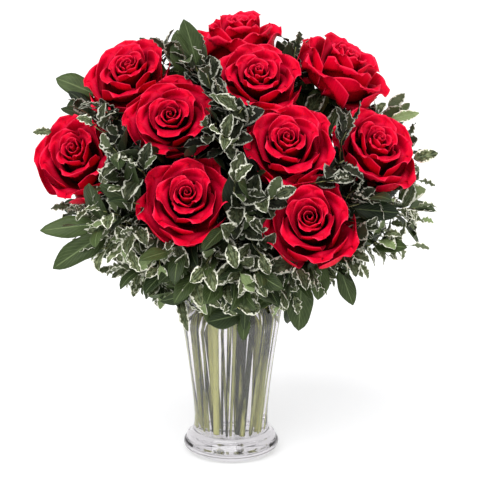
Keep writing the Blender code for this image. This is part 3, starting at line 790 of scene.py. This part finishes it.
def petalPoints(share, radius, tip, turn, random, openLean):
    # one petal in the bloom's frame, in millimetres, foot at height 0
    shape = bloomShape
    lean = between(shape["lean"], share**1.6)
    if lean > 0:
        lean = lean * openLean + random.uniform(-4, 4) * share
    r, z, run, length = cupProfile(radius, tip, lean)
    v = np.linspace(0, 1, shape["rows"])[:, None] ** 0.85
    u = np.linspace(-1, 1, shape["cols"])[None, :]
    u = np.sign(u) * np.abs(u) ** 0.85
    half = between(shape["halfTurn"], share**0.6) * random.uniform(0.95, 1.06)
    width = half * (0.55 + 0.45 * np.sin(np.minimum(v / 0.6, 1.0) * math.pi / 2))
    width = width * (1 - 0.06 * np.maximum(v - 0.6, 0) / 0.4)
    x = u * width * radius
    drop = between(shape["shoulder"], share) * random.uniform(0.85, 1.15) * min(0.2 + share * 1.4, 1.0)
    point = shape["point"] * min(max(share - 0.4, 0) * 2.4, 1.0) * np.exp(-((u / 0.18) ** 2))
    y = v * length * (1 - drop * np.abs(u) ** 2.6 + point)
    out = np.zeros_like(x + y)
    slant = math.radians(38 + random.uniform(-5, 5))
    rollRadius = between(shape["rollRadius"], share**1.2)
    for side in (1, -1):
        start = length * math.cos(slant) * between(shape["rollAt"], share**0.8) * random.uniform(0.93, 1.05)
        past = x * side * math.sin(slant) + y * math.cos(slant) - start
        over = np.clip(past, 0, rollRadius * 2.5)
        short = rollRadius * np.sin(over / rollRadius) - over
        x = x + short * side * math.sin(slant)
        y = y + short * math.cos(slant)
        out = out + rollRadius * (1 - np.cos(over / rollRadius)) * 0.66 * min(share * 1.9, 1.0)
    edge = np.maximum(np.abs(u) ** 3, v**5)
    ripple = np.sin(u * random.uniform(2.4, 4.2) + random.uniform(0, 6))
    ripple = ripple + 0.4 * np.sin(v * 5 + u * 3 + random.uniform(0, 6))
    out = out + between(shape["wave"], share) * edge * ripple
    ring = np.interp(y, run, r)
    level = np.interp(y, run, z)
    slopeR = np.gradient(r, run)
    slopeZ = np.gradient(z, run)
    nr = np.interp(y, run, slopeZ)
    nz = -np.interp(y, run, slopeR)
    tuck = (0.5 + 1.5 * min(share * 2, 1.0)) * u * v
    around = turn + x / radius
    radial = ring + out * nr + tuck
    height = level + out * nz
    points = np.stack([radial * np.cos(around), radial * np.sin(around), height], axis=2)
    uv = np.stack(np.broadcast_arrays(u / 2 + 0.5, v), axis=2)
    return points, uv, edge


def standingOn(centre, way, nod=(0, 0, 0)):
    # turns points of a bloom's own frame into the bouquet's
    turn = np.array(way.to_track_quat("Z", "Y").to_matrix())
    middle = np.array(centre)
    foot = bouquet["bloomHeight"] / 2

    def place(points):
        share = np.clip((points[..., 2:] + foot) / 0.042, 0, 1.15)
        return points @ turn.T + middle + np.array(nod) * 0.001 * share

    return place


def bloomPile(index, place):
    random = np.random.default_rng(400 + index)
    openness, hollow, tall, openLean, _ = bloomMoods[index]
    pile = newPile()
    count = len(bloomShape["ringRadius"])
    turn = random.uniform(0, 2 * math.pi)
    for i in range(count):
        share = i / (count - 1)
        radius = bloomShape["ringRadius"][i]
        if share < 0.4:
            radius = radius + hollow * 1.1
        radius *= openness
        tip = bloomShape["tipHeight"][i] * tall * random.uniform(0.98, 1.02)
        if share < 0.35:
            tip -= hollow * (2.0 - 5.0 * share)
        turn += math.radians(137.5 + random.uniform(-8, 8))
        points, uv, edge = petalPoints(share, radius, tip, turn, random, openLean)
        points[:, :, 2] -= bouquet["bloomHeight"] * 500 - 1.0
        thick = bloomShape["thick"] * (1 - 0.6 * edge)
        # the petal's share from the heart goes into the tint, where it sets the painted shade deep in the
        # bloom
        addSheet(pile, place(points * 0.001), uv, thick * 0.001, (share, random.uniform(0, 1), 1.0), 0)
    return pile


def buildBlooms(centres, ways, material):
    for i, (centre, way) in enumerate(zip(centres, ways)):
        pile = bloomPile(i, standingOn(centre, way, bloomMoods[i][4]))
        bloom = makePiece(f"rose_petals_{i + 1:02d}", pile, [material])
        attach(bloom, "root")
        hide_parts(f"rose_bloom_{i + 1:02d}")
    print("blooms made:", len(centres))


sepal = {"count": 5, "length": 0.027, "width": 0.0075, "foot": 0.0052}


def buildSepals(centres, ways, material):
    # five narrow green sepals that turn back under each bloom
    for i, (centre, way) in enumerate(zip(centres, ways)):
        random = np.random.default_rng(700 + i)
        place = standingOn(centre, way)
        pile = newPile()
        for k in range(sepal["count"]):
            v = np.linspace(0, 1, 12)[:, None]
            u = np.linspace(-1, 1, 5)[None, :]
            half = sepal["width"] / 2 * np.sin(np.pi * np.clip(v, 0.06, 1) ** 0.6) ** 0.9 + 0.0003
            curl = random.uniform(0.6, 2.0)
            length = sepal["length"] * random.uniform(0.8, 1.15)
            angle = 0.35 - curl * v
            step = length / 12
            r = sepal["foot"] + np.cumsum(np.cos(angle) * step, axis=0)
            z = np.cumsum(np.sin(angle) * step, axis=0)
            turn = k * 2 * math.pi / sepal["count"] + random.uniform(-0.15, 0.15)
            across = u * half
            points = np.stack(
                [
                    r * math.cos(turn) - across * math.sin(turn),
                    r * math.sin(turn) + across * math.cos(turn),
                    z - np.abs(u) * half * 0.35 - bouquet["bloomHeight"] / 2 + 0.0005 + 0 * u,
                ],
                axis=2,
            )
            uv = np.stack(np.broadcast_arrays(u / 2 + 0.5, v), axis=2)
            thick = 0.0005 * (1 - 0.6 * np.abs(u)) + 0 * v
            addSheet(pile, place(points), uv, thick, (1.0, random.uniform(0, 1), 1.0), 0)
        made = makePiece(f"rose_sepals_{i + 1:02d}", pile, [material])
        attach(made, "root")
    print("sepals made:", len(centres))


sprigPlan = {
    "length": (0.023, 0.035),
    "width": 0.50,  # of the length
    "spacing": 0.0085,
    "open": (0.65, 1.15),
    "fold": 0.30,
    "bend": (0.1, 1.2),
    "ruffle": 0.0014,
    "ruffles": 3.5,
    "petiole": 0.10,
    "bare": 0.12,
    "outline": (0.62, 0.78),
    "rows": 13,
    "cols": 5,
    "stem": 0.0010,
    "twig": 0.0006,
}

branchPlan = {
    "length": (0.036, 0.056),
    "width": 0.40,
    "spacing": 0.0150,
    "open": (0.55, 1.0),
    "fold": 0.18,
    "bend": (0.1, 0.9),
    "ruffle": 0.0005,
    "ruffles": 1.5,
    "petiole": 0.09,
    "bare": 0.12,
    "outline": (0.62, 0.74),
    "rows": 12,
    "cols": 5,
    "stem": 0.0011,
    "twig": 0.0008,
}

room = {
    "proud": 0.009,  # how far leaves may stand out of the part's box
    "bloomSide": 0.0365,
    "bloomHalf": 0.030,
    "faceSide": 0.033,  # no leaf on a twig stands in front of a bloom's open face
    "faceAhead": (0.012, 0.085),
    "glass": 0.0012,
    # how low leaves may hang at these distances from the axis
    "around": (0.060, 0.075, 0.100, 0.130, 0.170),
    "lowest": (0.133, 0.150, 0.174, 0.190, 0.203),
}

frontWay = np.array([0.0, -0.966, 0.259])


def isClear(points, blooms, wider=1.0):
    # outside the vase and within the box that leaves may fill; blooms are tested a little
    # smaller than their petals reach, so a leaf may still cross an outer petal
    flat = points.reshape(-1, 3)
    low = np.array(cadLow) - room["proud"]
    high = np.array(cadHigh) + room["proud"]
    if (flat < low).any() or (flat > high).any():
        return False
    around = np.hypot(flat[:, 0], flat[:, 1])
    level = np.minimum(flat[:, 2], vase["height"])
    share = np.maximum(level - vase["waistLevel"], 0) / (vase["height"] - vase["waistLevel"])
    wall = vase["waist"] + (vase["mouth"] - vase["waist"]) * share ** vase["flare"] + room["glass"]
    if ((flat[:, 2] < vase["height"] + room["glass"]) & (around < wall)).any():
        return False
    if (flat[:, 2] < np.interp(around, room["around"], room["lowest"])).any():
        return False
    middles, ways = blooms
    offset = flat[None] - middles[:, None]
    square = (offset**2).sum(axis=2)
    along = (offset * ways[:, None]).sum(axis=2)
    side = np.maximum(square - along**2, 0)
    if (side / room["bloomSide"] ** 2 + along**2 / room["bloomHalf"] ** 2 < wider**2).any():
        return False
    near, far = room["faceAhead"]
    faceSide = (room["faceSide"] * wider) ** 2
    if ((along > near) & (along < far) & (side < faceSide)).any():
        return False
    along = offset @ frontWay
    side = square - along**2
    return not ((along > near) & (side < faceSide)).any()


def leafPoints(base, along, face, plan, random, scale=1.0):
    along = along / np.linalg.norm(along)
    normal = face - along * face.dot(along)
    normal /= max(np.linalg.norm(normal), 1e-9)
    across = np.cross(along, normal)
    length = random.uniform(*plan["length"]) * scale
    half = length * plan["width"] / 2 * random.uniform(0.88, 1.12)
    v = np.linspace(0, 1, plan["rows"])[:, None]
    u = np.linspace(-1, 1, plan["cols"])[None, :]
    blade = np.clip((v - plan["petiole"]) / (1 - plan["petiole"]), 0, 1)
    p, q = plan["outline"]
    peak = (p / (p + q)) ** p * (q / (p + q)) ** q
    wide = half * blade**p * (1 - blade) ** q / peak + 0.00045
    bend = random.uniform(*plan["bend"])
    angle = -bend * v**1.3 + 0.25 * bend
    step = length / (plan["rows"] - 1)
    forward = np.cumsum(np.cos(angle) * step, axis=0)
    lift = np.cumsum(np.sin(angle) * step, axis=0)
    x = u * wide
    ruffle = plan["ruffle"] * random.uniform(0.5, 1.4) * np.abs(u) ** 2 * np.minimum(wide / half, 1)
    phase = random.uniform(0, 6.28, 2)
    wave = v * plan["ruffles"] * 6.28
    waves = np.where(u > 0, np.sin(wave + phase[0]), np.sin(wave + phase[1]))
    fold = plan["fold"] * random.uniform(0.2, 1.3)
    height = lift + np.abs(x) * fold + ruffle * waves
    x = x * (1 + 0.06 * waves * np.abs(u))
    twist = random.uniform(-0.5, 0.5) * v
    side = x * np.cos(twist) - (height - lift) * np.sin(twist)
    height = lift + (height - lift) * np.cos(twist) + x * np.sin(twist)
    points = base + forward[..., None] * along + side[..., None] * across + height[..., None] * normal
    uv = np.stack(np.broadcast_arrays(u / 2 + 0.5, v), axis=2)
    return points, uv


def runAlong(route, spacing=0.0025):
    # evenly spaced points on a smooth curve through the knots
    knots = np.array([tuple(p) for p in route])
    ends = np.concatenate([2 * knots[:1] - knots[1:2], knots, 2 * knots[-1:] - knots[-2:-1]])
    fine = []
    for i in range(len(knots) - 1):
        a, b, c, d = ends[i : i + 4]
        for t in np.linspace(0, 1, 12, endpoint=False):
            bend = (2 * a - 5 * b + 4 * c - d) * t**2
            curl = (3 * b - a - 3 * c + d) * t**3
            fine.append(0.5 * ((2 * b) + (c - a) * t + bend + curl))
    fine.append(knots[-1])
    fine = np.array(fine)
    run = np.concatenate([[0.0], np.cumsum(np.linalg.norm(np.diff(fine, axis=0), axis=1))])
    even = np.linspace(0, run[-1], max(int(run[-1] / spacing), 4))
    return np.stack([np.interp(even, run, fine[:, k]) for k in range(3)], axis=1)


def sideWay(ahead, turn):
    first = np.cross(ahead, (0.2, 0.3, 0.93))
    first /= np.linalg.norm(first)
    second = np.cross(ahead, first)
    return first * math.cos(turn) + second * math.sin(turn)


heartOfBouquet = np.array([0.0, 0.0, vase["height"] + 0.045])


def faceWay(place, random):
    # leaves turn their faces out of the bouquet and up
    out = place - heartOfBouquet
    out /= max(np.linalg.norm(out), 1e-9)
    return out * 0.9 + np.array([0, 0, 0.45]) + random.normal(0, 0.28, 3)


def depthShade(place, middles):
    # painted shade: leaves deep in the bouquet or crowded between blooms are darkened, and leaves at the
    # outside get a little painted light
    share = np.linalg.norm((place - np.array(fill["middle"])) / np.array(fill["radii"]))
    crowd = np.exp(-(((middles - place) ** 2).sum(axis=1)) / 0.052**2).sum()
    lit = np.interp(share, (0.58, 1.0), (0.06, 1.0)) / (1 + 3.6 * crowd) * 1.8
    return float(min(lit, 1.12))


def leavesAlong(pile, path, plan, blooms, random, start, scale=1.0):
    # leaves in a spiral along a path, and one at its end
    steps = np.linalg.norm(np.diff(path, axis=0), axis=1)
    run = np.concatenate([[0.0], np.cumsum(steps)])
    count = max(int((run[-1] - start) / plan["spacing"]), 1)
    made, end = 0, 0.0
    for i in range(count + 1):
        at = run[-1] - i * plan["spacing"]
        if at < start:
            break
        base = np.array([np.interp(at, run, path[:, k]) for k in range(3)])
        near = min(max(int(np.searchsorted(run, at)), 1), len(path) - 1)
        ahead = path[near] - path[near - 1]
        ahead /= np.linalg.norm(ahead)
        for attempt in range(5):
            turn = i * math.radians(137.5) + attempt * 1.3 + random.uniform(-0.3, 0.3)
            opened = random.uniform(*plan["open"]) * (0.2 if i == 0 else 1.0)
            along = ahead * math.cos(opened) + sideWay(ahead, turn) * math.sin(opened)
            size = scale * (0.72 + 0.28 * min(i / 2, 1.0))
            points, uv = leafPoints(base, along, faceWay(base, random), plan, random, size)
            if isClear(points, blooms):
                edge = np.abs(uv[..., 0] * 2 - 1)
                thick = 0.00042 * (1 - 0.55 * edge)
                # painted shade and light for the leaf's place, carried in the tint's first channel
                shade = depthShade(points.reshape(-1, 3).mean(axis=0), blooms[0])
                addSheet(pile, points, uv, thick, (shade, random.uniform(0, 1), 1.0), 1)
                made += 1
                end = max(end, at)
                break
    return made, end


def twigPath(base, ahead, target, random):
    # a side twig that leaves along its stem and turns out to the target
    reach = np.linalg.norm(target - base)
    out = target - heartOfBouquet
    out /= np.linalg.norm(out)
    first = base + ahead * reach * 0.35
    second = target - out * reach * 0.30 + random.normal(0, 0.05, 3) * reach
    t = np.linspace(0, 1, 9)[:, None]
    return (1 - t) ** 3 * base + 3 * t * (1 - t) ** 2 * first + 3 * t**2 * (1 - t) * second + t**3 * target


def startStem(name, route, plan, blooms, seed):
    # the stem of a sprig or branch with leaves along it
    random = np.random.default_rng(seed)
    path = runAlong(route[1:])
    pile = newPile()
    whole = np.concatenate([np.array([tuple(route[0])]), path])
    addTube(pile, whole, plan["stem"] * (1 - 0.5 * np.linspace(0, 1, len(whole))), 8, (1.0, 0.5, 1.0), 0)
    run = np.concatenate([[0.0], np.cumsum(np.linalg.norm(np.diff(path, axis=0), axis=1))])
    start = run[-1] * plan["bare"]
    count, _ = leavesAlong(pile, path, plan, blooms, random, start)
    stem = {"name": name, "pile": pile, "path": path, "plan": plan}
    return dict(stem, random=random, count=count)


def addTwig(stem, at, target, blooms, scale=1.0):
    path, plan, random = stem["path"], stem["plan"], stem["random"]
    at = min(max(at, 1), len(path) - 1)
    ahead = path[at] - path[at - 1]
    ahead /= np.linalg.norm(ahead)
    twig = twigPath(path[at], ahead, target, random)
    if not isClear(twig, blooms, 1.13):
        return 0
    length = np.linalg.norm(np.diff(twig, axis=0), axis=1).sum()
    start = max(length * 0.3, length - 0.05)
    made, end = leavesAlong(stem["pile"], twig, plan, blooms, random, start, scale)
    if made:
        twig = twig[: max(int(math.ceil(end / length * 8)) + 1, 3)]
        addTube(stem["pile"], twig, plan["twig"] * np.linspace(1.2, 0.6, len(twig)), 5, (1.0, 0.5, 1.0), 0)
    stem["count"] += made
    return made


# where twigs are sent so that the bouquet closes up: shells of an egg round its
# middle, and a collar that hangs over the rim
fill = {
    "middle": (0.006, 0.0, 0.285),
    "radii": (0.172, 0.128, 0.128),
    "low": 0.165,
    "shells": (
        (0.42, 90, "branch"),
        (0.62, 170, "branch"),
        (0.78, 140, "branch"),
        (0.85, 200, "sprig"),
        (0.98, 230, "sprig"),
        (0.95, 70, "branch"),
    ),
    "collar": (
        (80, "branch", (0.062, 0.088), (0.172, 0.218)),
        (56, "sprig", (0.066, 0.100), (0.172, 0.218)),
    ),
    "reach": (0.012, 0.105),
    "sprays": (
        ("sprig", (0.178, -0.020, 0.252)),
        ("sprig", (0.186, 0.004, 0.238)),
        ("sprig", (0.172, -0.034, 0.222)),
        ("sprig", (0.158, -0.040, 0.208)),
        ("sprig", (0.184, 0.030, 0.272)),
        ("sprig", (0.165, 0.030, 0.338)),
        ("sprig", (0.172, 0.020, 0.318)),
        ("sprig", (-0.082, 0.060, 0.398)),
        ("sprig", (-0.054, 0.066, 0.402)),
        ("sprig", (0.064, 0.050, 0.402)),
        ("branch", (-0.088, -0.010, 0.330)),
        ("branch", (-0.100, 0.000, 0.345)),
        ("branch", (-0.070, 0.030, 0.360)),
        ("sprig", (-0.096, -0.030, 0.330)),
        ("sprig", (-0.108, -0.016, 0.348)),
        ("branch", (-0.090, 0.040, 0.372)),
        ("branch", (0.070, 0.030, 0.372)),
        ("branch", (0.050, 0.040, 0.380)),
        ("branch", (-0.020, 0.040, 0.385)),
        ("branch", (-0.140, 0.020, 0.330)),
        ("branch", (0.110, 0.020, 0.350)),
    ),
}


def shellTargets(share, count, random):
    # even directions over a ball, pulled to the shell
    i = np.arange(count) + 0.5
    height = 1 - 2 * i / count
    turn = i * math.pi * (1 + math.sqrt(5)) + random.uniform(0, 6.28)
    flat = np.sqrt(1 - height**2)
    ball = np.stack([flat * np.cos(turn), flat * np.sin(turn), height], axis=1)
    spread = share * random.uniform(0.93, 1.05, (count, 1))
    places = np.array(fill["middle"]) + ball * np.array(fill["radii"]) * spread
    return places[places[:, 2] > fill["low"]]


def collarTargets(count, radii, levels, random):
    turn = (np.arange(count) + random.uniform(-0.4, 0.4, count)) / count * 2 * math.pi
    radius = random.uniform(*radii, count)
    return np.stack([radius * np.cos(turn), radius * np.sin(turn), random.uniform(*levels, count)], axis=1)


def sendTwigs(stems, targets, blooms, scale=1.0):
    # each target gets a twig from the nearest stem that can reach it
    places = np.concatenate([stem["path"] for stem in stems])
    owner = np.concatenate([np.full(len(stem["path"]), k) for k, stem in enumerate(stems)])
    index = np.concatenate([np.arange(len(stem["path"])) for stem in stems])
    made = 0
    for target in targets:
        distance = np.linalg.norm(places - target, axis=1)
        distance = np.where(distance < fill["reach"][0], 1.0, distance)
        for _ in range(3):
            best = int(distance.argmin())
            if distance[best] > fill["reach"][1]:
                break
            stem = stems[owner[best]]
            back = int(distance[best] * 0.5 / 0.0025)
            grown = addTwig(stem, index[best] - back, target, blooms, scale)
            if grown:
                made += grown
                break
            distance = np.where(owner == owner[best], 1.0, distance)
    return made


# single leaves in plain view, placed one by one and not tested for room: kind, foot, tip and width
shownLeaves = [
    ("branch", (-0.017, -0.062, 0.190), (-0.020, -0.066, 0.155), 0.019),
    ("branch", (0.014, -0.063, 0.162), (-0.019, -0.068, 0.156), 0.018),
    ("branch", (0.014, -0.063, 0.164), (0.012, -0.066, 0.138), 0.012),
    ("branch", (0.015, -0.063, 0.161), (0.056, -0.052, 0.189), 0.013),
    ("branch", (0.069, -0.045, 0.197), (0.066, -0.048, 0.143), 0.025),
    ("branch", (0.034, -0.070, 0.228), (0.046, -0.080, 0.191), 0.031),
    ("branch", (-0.018, -0.072, 0.232), (0.001, -0.078, 0.207), 0.021),
    ("branch", (0.031, -0.098, 0.286), (0.016, -0.106, 0.256), 0.023),
    ("sprig", (0.019, -0.084, 0.233), (-0.013, -0.088, 0.227), 0.014),
    ("sprig", (-0.076, -0.070, 0.229), (-0.043, -0.074, 0.217), 0.016),
    ("sprig", (-0.091, -0.070, 0.255), (-0.083, -0.078, 0.226), 0.016),
    ("sprig", (-0.049, -0.048, 0.179), (-0.043, -0.052, 0.142), 0.011),
    ("sprig", (-0.045, -0.062, 0.186), (-0.018, -0.066, 0.181), 0.014),
    ("sprig", (-0.062, -0.050, 0.196), (-0.068, -0.054, 0.166), 0.012),
    ("sprig", (-0.088, -0.044, 0.200), (-0.094, -0.048, 0.176), 0.010),
    ("branch", (-0.121, -0.040, 0.246), (-0.178, -0.044, 0.240), 0.021),
    ("branch", (-0.119, -0.044, 0.238), (-0.167, -0.050, 0.206), 0.022),
    ("branch", (-0.118, -0.038, 0.230), (-0.150, -0.044, 0.212), 0.017),
    ("branch", (-0.130, 0.050, 0.352), (-0.170, 0.052, 0.370), 0.022),
    ("branch", (-0.128, 0.048, 0.346), (-0.162, 0.046, 0.342), 0.020),
    ("sprig", (-0.173, 0.004, 0.326), (-0.191, 0.002, 0.326), 0.010),
    ("branch", (-0.043, 0.012, 0.378), (-0.051, 0.010, 0.421), 0.020),
    ("branch", (-0.036, 0.014, 0.376), (-0.028, 0.016, 0.410), 0.018),
    ("branch", (0.104, -0.050, 0.208), (0.117, -0.052, 0.170), 0.018),
    ("branch", (0.088, -0.056, 0.214), (0.084, -0.060, 0.178), 0.018),
    ("sprig", (0.176, 0.000, 0.300), (0.200, -0.002, 0.306), 0.012),
    ("sprig", (0.154, 0.020, 0.334), (0.182, 0.018, 0.342), 0.011),
    ("branch", (0.070, 0.040, 0.338), (0.076, 0.036, 0.374), 0.022),
    ("branch", (0.086, 0.038, 0.330), (0.100, 0.034, 0.362), 0.022),
    ("sprig", (0.074, 0.030, 0.338), (0.090, 0.022, 0.362), 0.014),
    ("sprig", (0.096, 0.020, 0.318), (0.104, 0.010, 0.348), 0.013),
    ("branch", (0.056, 0.044, 0.352), (0.058, 0.042, 0.384), 0.020),
    ("branch", (-0.072, 0.040, 0.352), (-0.070, 0.038, 0.386), 0.020),
    ("branch", (-0.060, 0.042, 0.350), (-0.050, 0.040, 0.384), 0.020),
]


def addShownLeaves(kinds, blooms):
    random = np.random.default_rng(5)
    for kind, foot, tip, width in shownLeaves:
        foot, tip = np.array(foot), np.array(tip)
        best, at = None, 0
        for stem in kinds[kind]:
            distance = np.linalg.norm(stem["path"] - foot, axis=1)
            near = int(distance.argmin())
            if best is None or distance[near] < reach:
                best, at, reach = stem, near, distance[near]
        twig = twigPath(best["path"][at], (foot - best["path"][at]) / max(reach, 1e-6), foot, random)
        if isClear(twig[:-2], blooms):
            thin = best["plan"]["twig"] * np.linspace(1.2, 0.9, len(twig))
            addTube(best["pile"], twig, thin, 5, (1.0, 0.5, 1.0), 0)
        length = np.linalg.norm(tip - foot)
        size = {"length": (length, length), "width": width / length, "bend": (0.1, 0.5), "petiole": 0.03}
        face = np.array([0.0, -0.85, 0.5]) + random.normal(0, 0.15, 3)
        points, uv = leafPoints(foot, tip - foot, face, dict(best["plan"], **size), random)
        thick = 0.00042 * (1 - 0.55 * np.abs(uv[..., 0] * 2 - 1))
        addSheet(best["pile"], points, uv, thick, (1.0, random.uniform(0.35, 0.95), 1.0), 1)
        best["count"] += 1


def growFoliage(routes, centres, ways, looks):
    blooms = (np.array([tuple(c) for c in centres]), np.array([tuple(w) for w in ways]))
    stems = []
    for i, (name, route) in enumerate(routes):
        plan = sprigPlan if name.startswith("variegated") else branchPlan
        stems.append(startStem(name, route, plan, blooms, 900 + i))
    kinds = {
        "sprig": [stem for stem in stems if stem["plan"] is sprigPlan],
        "branch": [stem for stem in stems if stem["plan"] is branchPlan],
    }
    random = np.random.default_rng(77)
    for count, kind, radii, levels in fill["collar"]:
        made = sendTwigs(kinds[kind], collarTargets(count, radii, levels, random), blooms)
        print("collar leaves:", kind, made)
    for share, count, kind in fill["shells"]:
        made = sendTwigs(kinds[kind], shellTargets(share, count, random), blooms)
        print("shell leaves:", kind, share, made)
    for kind, target in fill["sprays"]:
        sendTwigs(kinds[kind], [np.array(target)], blooms, 0.85)
    addShownLeaves(kinds, blooms)
    for stem in stems:
        kind = "sprig" if stem["plan"] is sprigPlan else "branch"
        made = makePiece(stem["name"] + "_leaves", stem["pile"], looks[kind])
        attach(made, "root")
        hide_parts(stem["name"])
    print("leaves grown:", sum(stem["count"] for stem in stems))


def dressRoseStems(materials):
    for name, stem in nodes.items():
        if name.startswith("rose_stem_"):
            stem.data.materials.clear()
            stem.data.materials.append(materials[int(name[-2:]) % len(materials)])
            stem.data.polygons.foreach_set("use_smooth", np.ones(len(stem.data.polygons), bool))
    print("rose stems dressed")


def turnedPiece(name, profile, steps, material):
    # profile of radius and height pairs that runs down the outer side
    mesh = bpy.data.meshes.new(name)
    mesh.from_pydata([(r, 0.0, z) for r, z in profile], [(i, i + 1) for i in range(len(profile) - 1)], [])
    mesh.materials.append(material)
    made = bpy.data.objects.new(name, mesh)
    bpy.context.scene.collection.objects.link(made)
    turn = made.modifiers.new("turn", "SCREW")
    turn.steps = turn.render_steps = steps
    turn.use_merge_vertices = True
    turn.merge_threshold = 0.00001
    turn.use_smooth_shade = True
    return made


def arc(cx, cz, radius, start, end, count):
    return [
        (cx + radius * math.cos(math.radians(a)), cz + radius * math.sin(math.radians(a)))
        for a in np.linspace(start, end, count)
    ]


def buildVase(material):
    lip = vase["wall"] / 2
    corner = vase["floorCorner"]
    floorRadius = innerRadius(vase["floor"])
    levels = [vase["waistLevel"] + (vase["height"] - vase["waistLevel"]) * (i / 22) for i in range(1, 22)]
    inner = [(0.0, vase["floor"])]
    inner += arc(floorRadius - corner, vase["floor"] + corner, corner, -90, 0, 7)
    inner += [(innerRadius(z), z) for z in [vase["waistLevel"], *levels]]
    rim = arc(vase["mouth"] - lip, vase["height"] - lip, lip, 180, 0, 9)
    outer = [(outerRadius(z), z) for z in reversed(levels)]
    neck = vase["waist"] + 0.0022
    outer += [(vase["waist"], vase["waistLevel"]), (vase["waist"] + 0.0002, vase["neck"] + 0.008)]
    outer += [(vase["waist"] + 0.0008, vase["neck"] + 0.004), (neck, vase["neck"])]
    outer += [(neck + 0.0010, 0.0203), (neck + 0.0030, 0.0186), (neck + 0.0052, 0.0168)]
    edge = vase["footEdge"]
    outer += arc(vase["foot"] - edge, vase["footLevel"] + 0.0002, edge, 62, -56, 10)
    outer += [(vase["base"] + 0.0022, 0.0009), (vase["base"] + 0.0004, 0.0), (vase["base"] - 0.0030, 0.0)]
    wide, deep = vase["hollow"]
    outer += [(r, deep * (1 - (r / wide) ** 2) ** 0.8) for r in np.linspace(wide, 0.0, 12)]
    made = turnedPiece("glass_vase", inner + rim + outer, 96, material)
    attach(made, "root")
    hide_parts("vase")
    print("vase turned")


def buildWater(material):
    # reaches a hair into the glass, so no air shows between them
    into = 0.0002
    levels = np.linspace(vase["water"], vase["waistLevel"], 6)
    wall = [(innerRadius(z) + into, z) for z in levels]
    top = innerRadius(vase["water"])
    creep = vase["creep"]
    meniscus = [(top - creep[0], vase["water"]), (top + into, vase["water"] + creep[1])]
    corner = innerRadius(vase["floor"])
    wall.append((corner + into, vase["floor"] + vase["floorCorner"]))
    turn = vase["floorCorner"]
    bottom = arc(corner - turn, vase["floor"] + turn, turn + into, 0, -90, 7)
    profile = [(0.0, vase["water"]), *meniscus, *wall[1:], *bottom[1:], (0.0, vase["floor"] - into)]
    made = turnedPiece("vase_water", profile, 96, material)
    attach(made, "root")
    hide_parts("water")
    print("water poured")


studio = {
    "floorSize": 30.0,
    "floor": (0.56, 0.56, 0.57),
    "world": 0.80,
    "lamps": (("key", 2.4, 50, (36, 0, -24)), ("fill", 0.4, 60, (48, 0, 50))),
    "glow": 0.46,  # the floor is a light table, so shadows on it stay faint
    "lens": 135.0,
    "distance": 1.775,
    "elevation": 15.0,
    "aim": (0.009, 0.0, 0.2183),
}


def buildStudio():
    scene = bpy.context.scene
    mesh = bpy.data.meshes.new("studio_floor")
    half = studio["floorSize"] / 2
    corners = [(-half, -half, 0), (half, -half, 0), (half, half, 0), (-half, half, 0)]
    mesh.from_pydata(corners, [], [(0, 1, 2, 3)])
    floor = bpy.data.objects.new("studio_floor", mesh)
    floor.location.z = -0.0002
    scene.collection.objects.link(floor)
    values = {"Base Color": (*studio["floor"], 1.0), "Roughness": 0.6}
    values["Emission Color"] = (1.0, 1.0, 1.0, 1.0)
    values["Emission Strength"] = studio["glow"]
    material, _, _ = shaderFor("studio_floor", values)
    mesh.materials.append(material)
    world = bpy.data.worlds.new("studio")
    world.use_nodes = True
    world.node_tree.nodes["Background"].inputs[0].default_value = (1.0, 1.0, 1.0, 1.0)
    world.node_tree.nodes["Background"].inputs[1].default_value = studio["world"]
    scene.world = world
    for name, strength, angle, turn in studio["lamps"]:
        lamp = bpy.data.lights.new(name, "SUN")
        lamp.energy = strength
        lamp.angle = math.radians(angle)
        made = bpy.data.objects.new(name, lamp)
        made.rotation_euler = [math.radians(a) for a in turn]
        scene.collection.objects.link(made)
    lens = bpy.data.cameras.new("camera")
    lens.lens = studio["lens"]
    lens.clip_end = 60
    camera = bpy.data.objects.new("camera", lens)
    rise = math.radians(studio["elevation"])
    aim = Vector(studio["aim"])
    camera.location = aim + studio["distance"] * Vector((0, -math.cos(rise), math.sin(rise)))
    camera.rotation_euler = (aim - camera.location).to_track_quat("-Z", "Y").to_euler()
    scene.collection.objects.link(camera)
    scene.camera = camera
    scene.view_settings.view_transform = "Standard"
    print("studio lit")


centres, ways, routes = planBouquet()
print("routes planned:", len(routes))
buildBlooms(centres, ways, petalMaterial())
sepalGreen = stemMaterial("sepal_green", (0.045, 0.075, 0.016), (0.13, 0.19, 0.05), 0.5)
buildSepals(centres, ways, sepalGreen)
stemGreens = [
    stemMaterial(f"rose_stem_{i}", (0.042, 0.052, 0.012), (1.0, 1.0, 0.34), 0.42, shift)
    for i, shift in enumerate((0.07, -0.09, 0.01))
]
dressRoseStems(stemGreens)
twigGreen = stemMaterial("twig_green", (0.045, 0.056, 0.020), (0.96, 0.98, 0.38), 0.5)
looks = {"sprig": [twigGreen, variegatedMaterial()], "branch": [twigGreen, plainLeafMaterial()]}
growFoliage(routes, centres, ways, looks)
buildVase(glassMaterial())
buildWater(waterMaterial())
buildStudio()
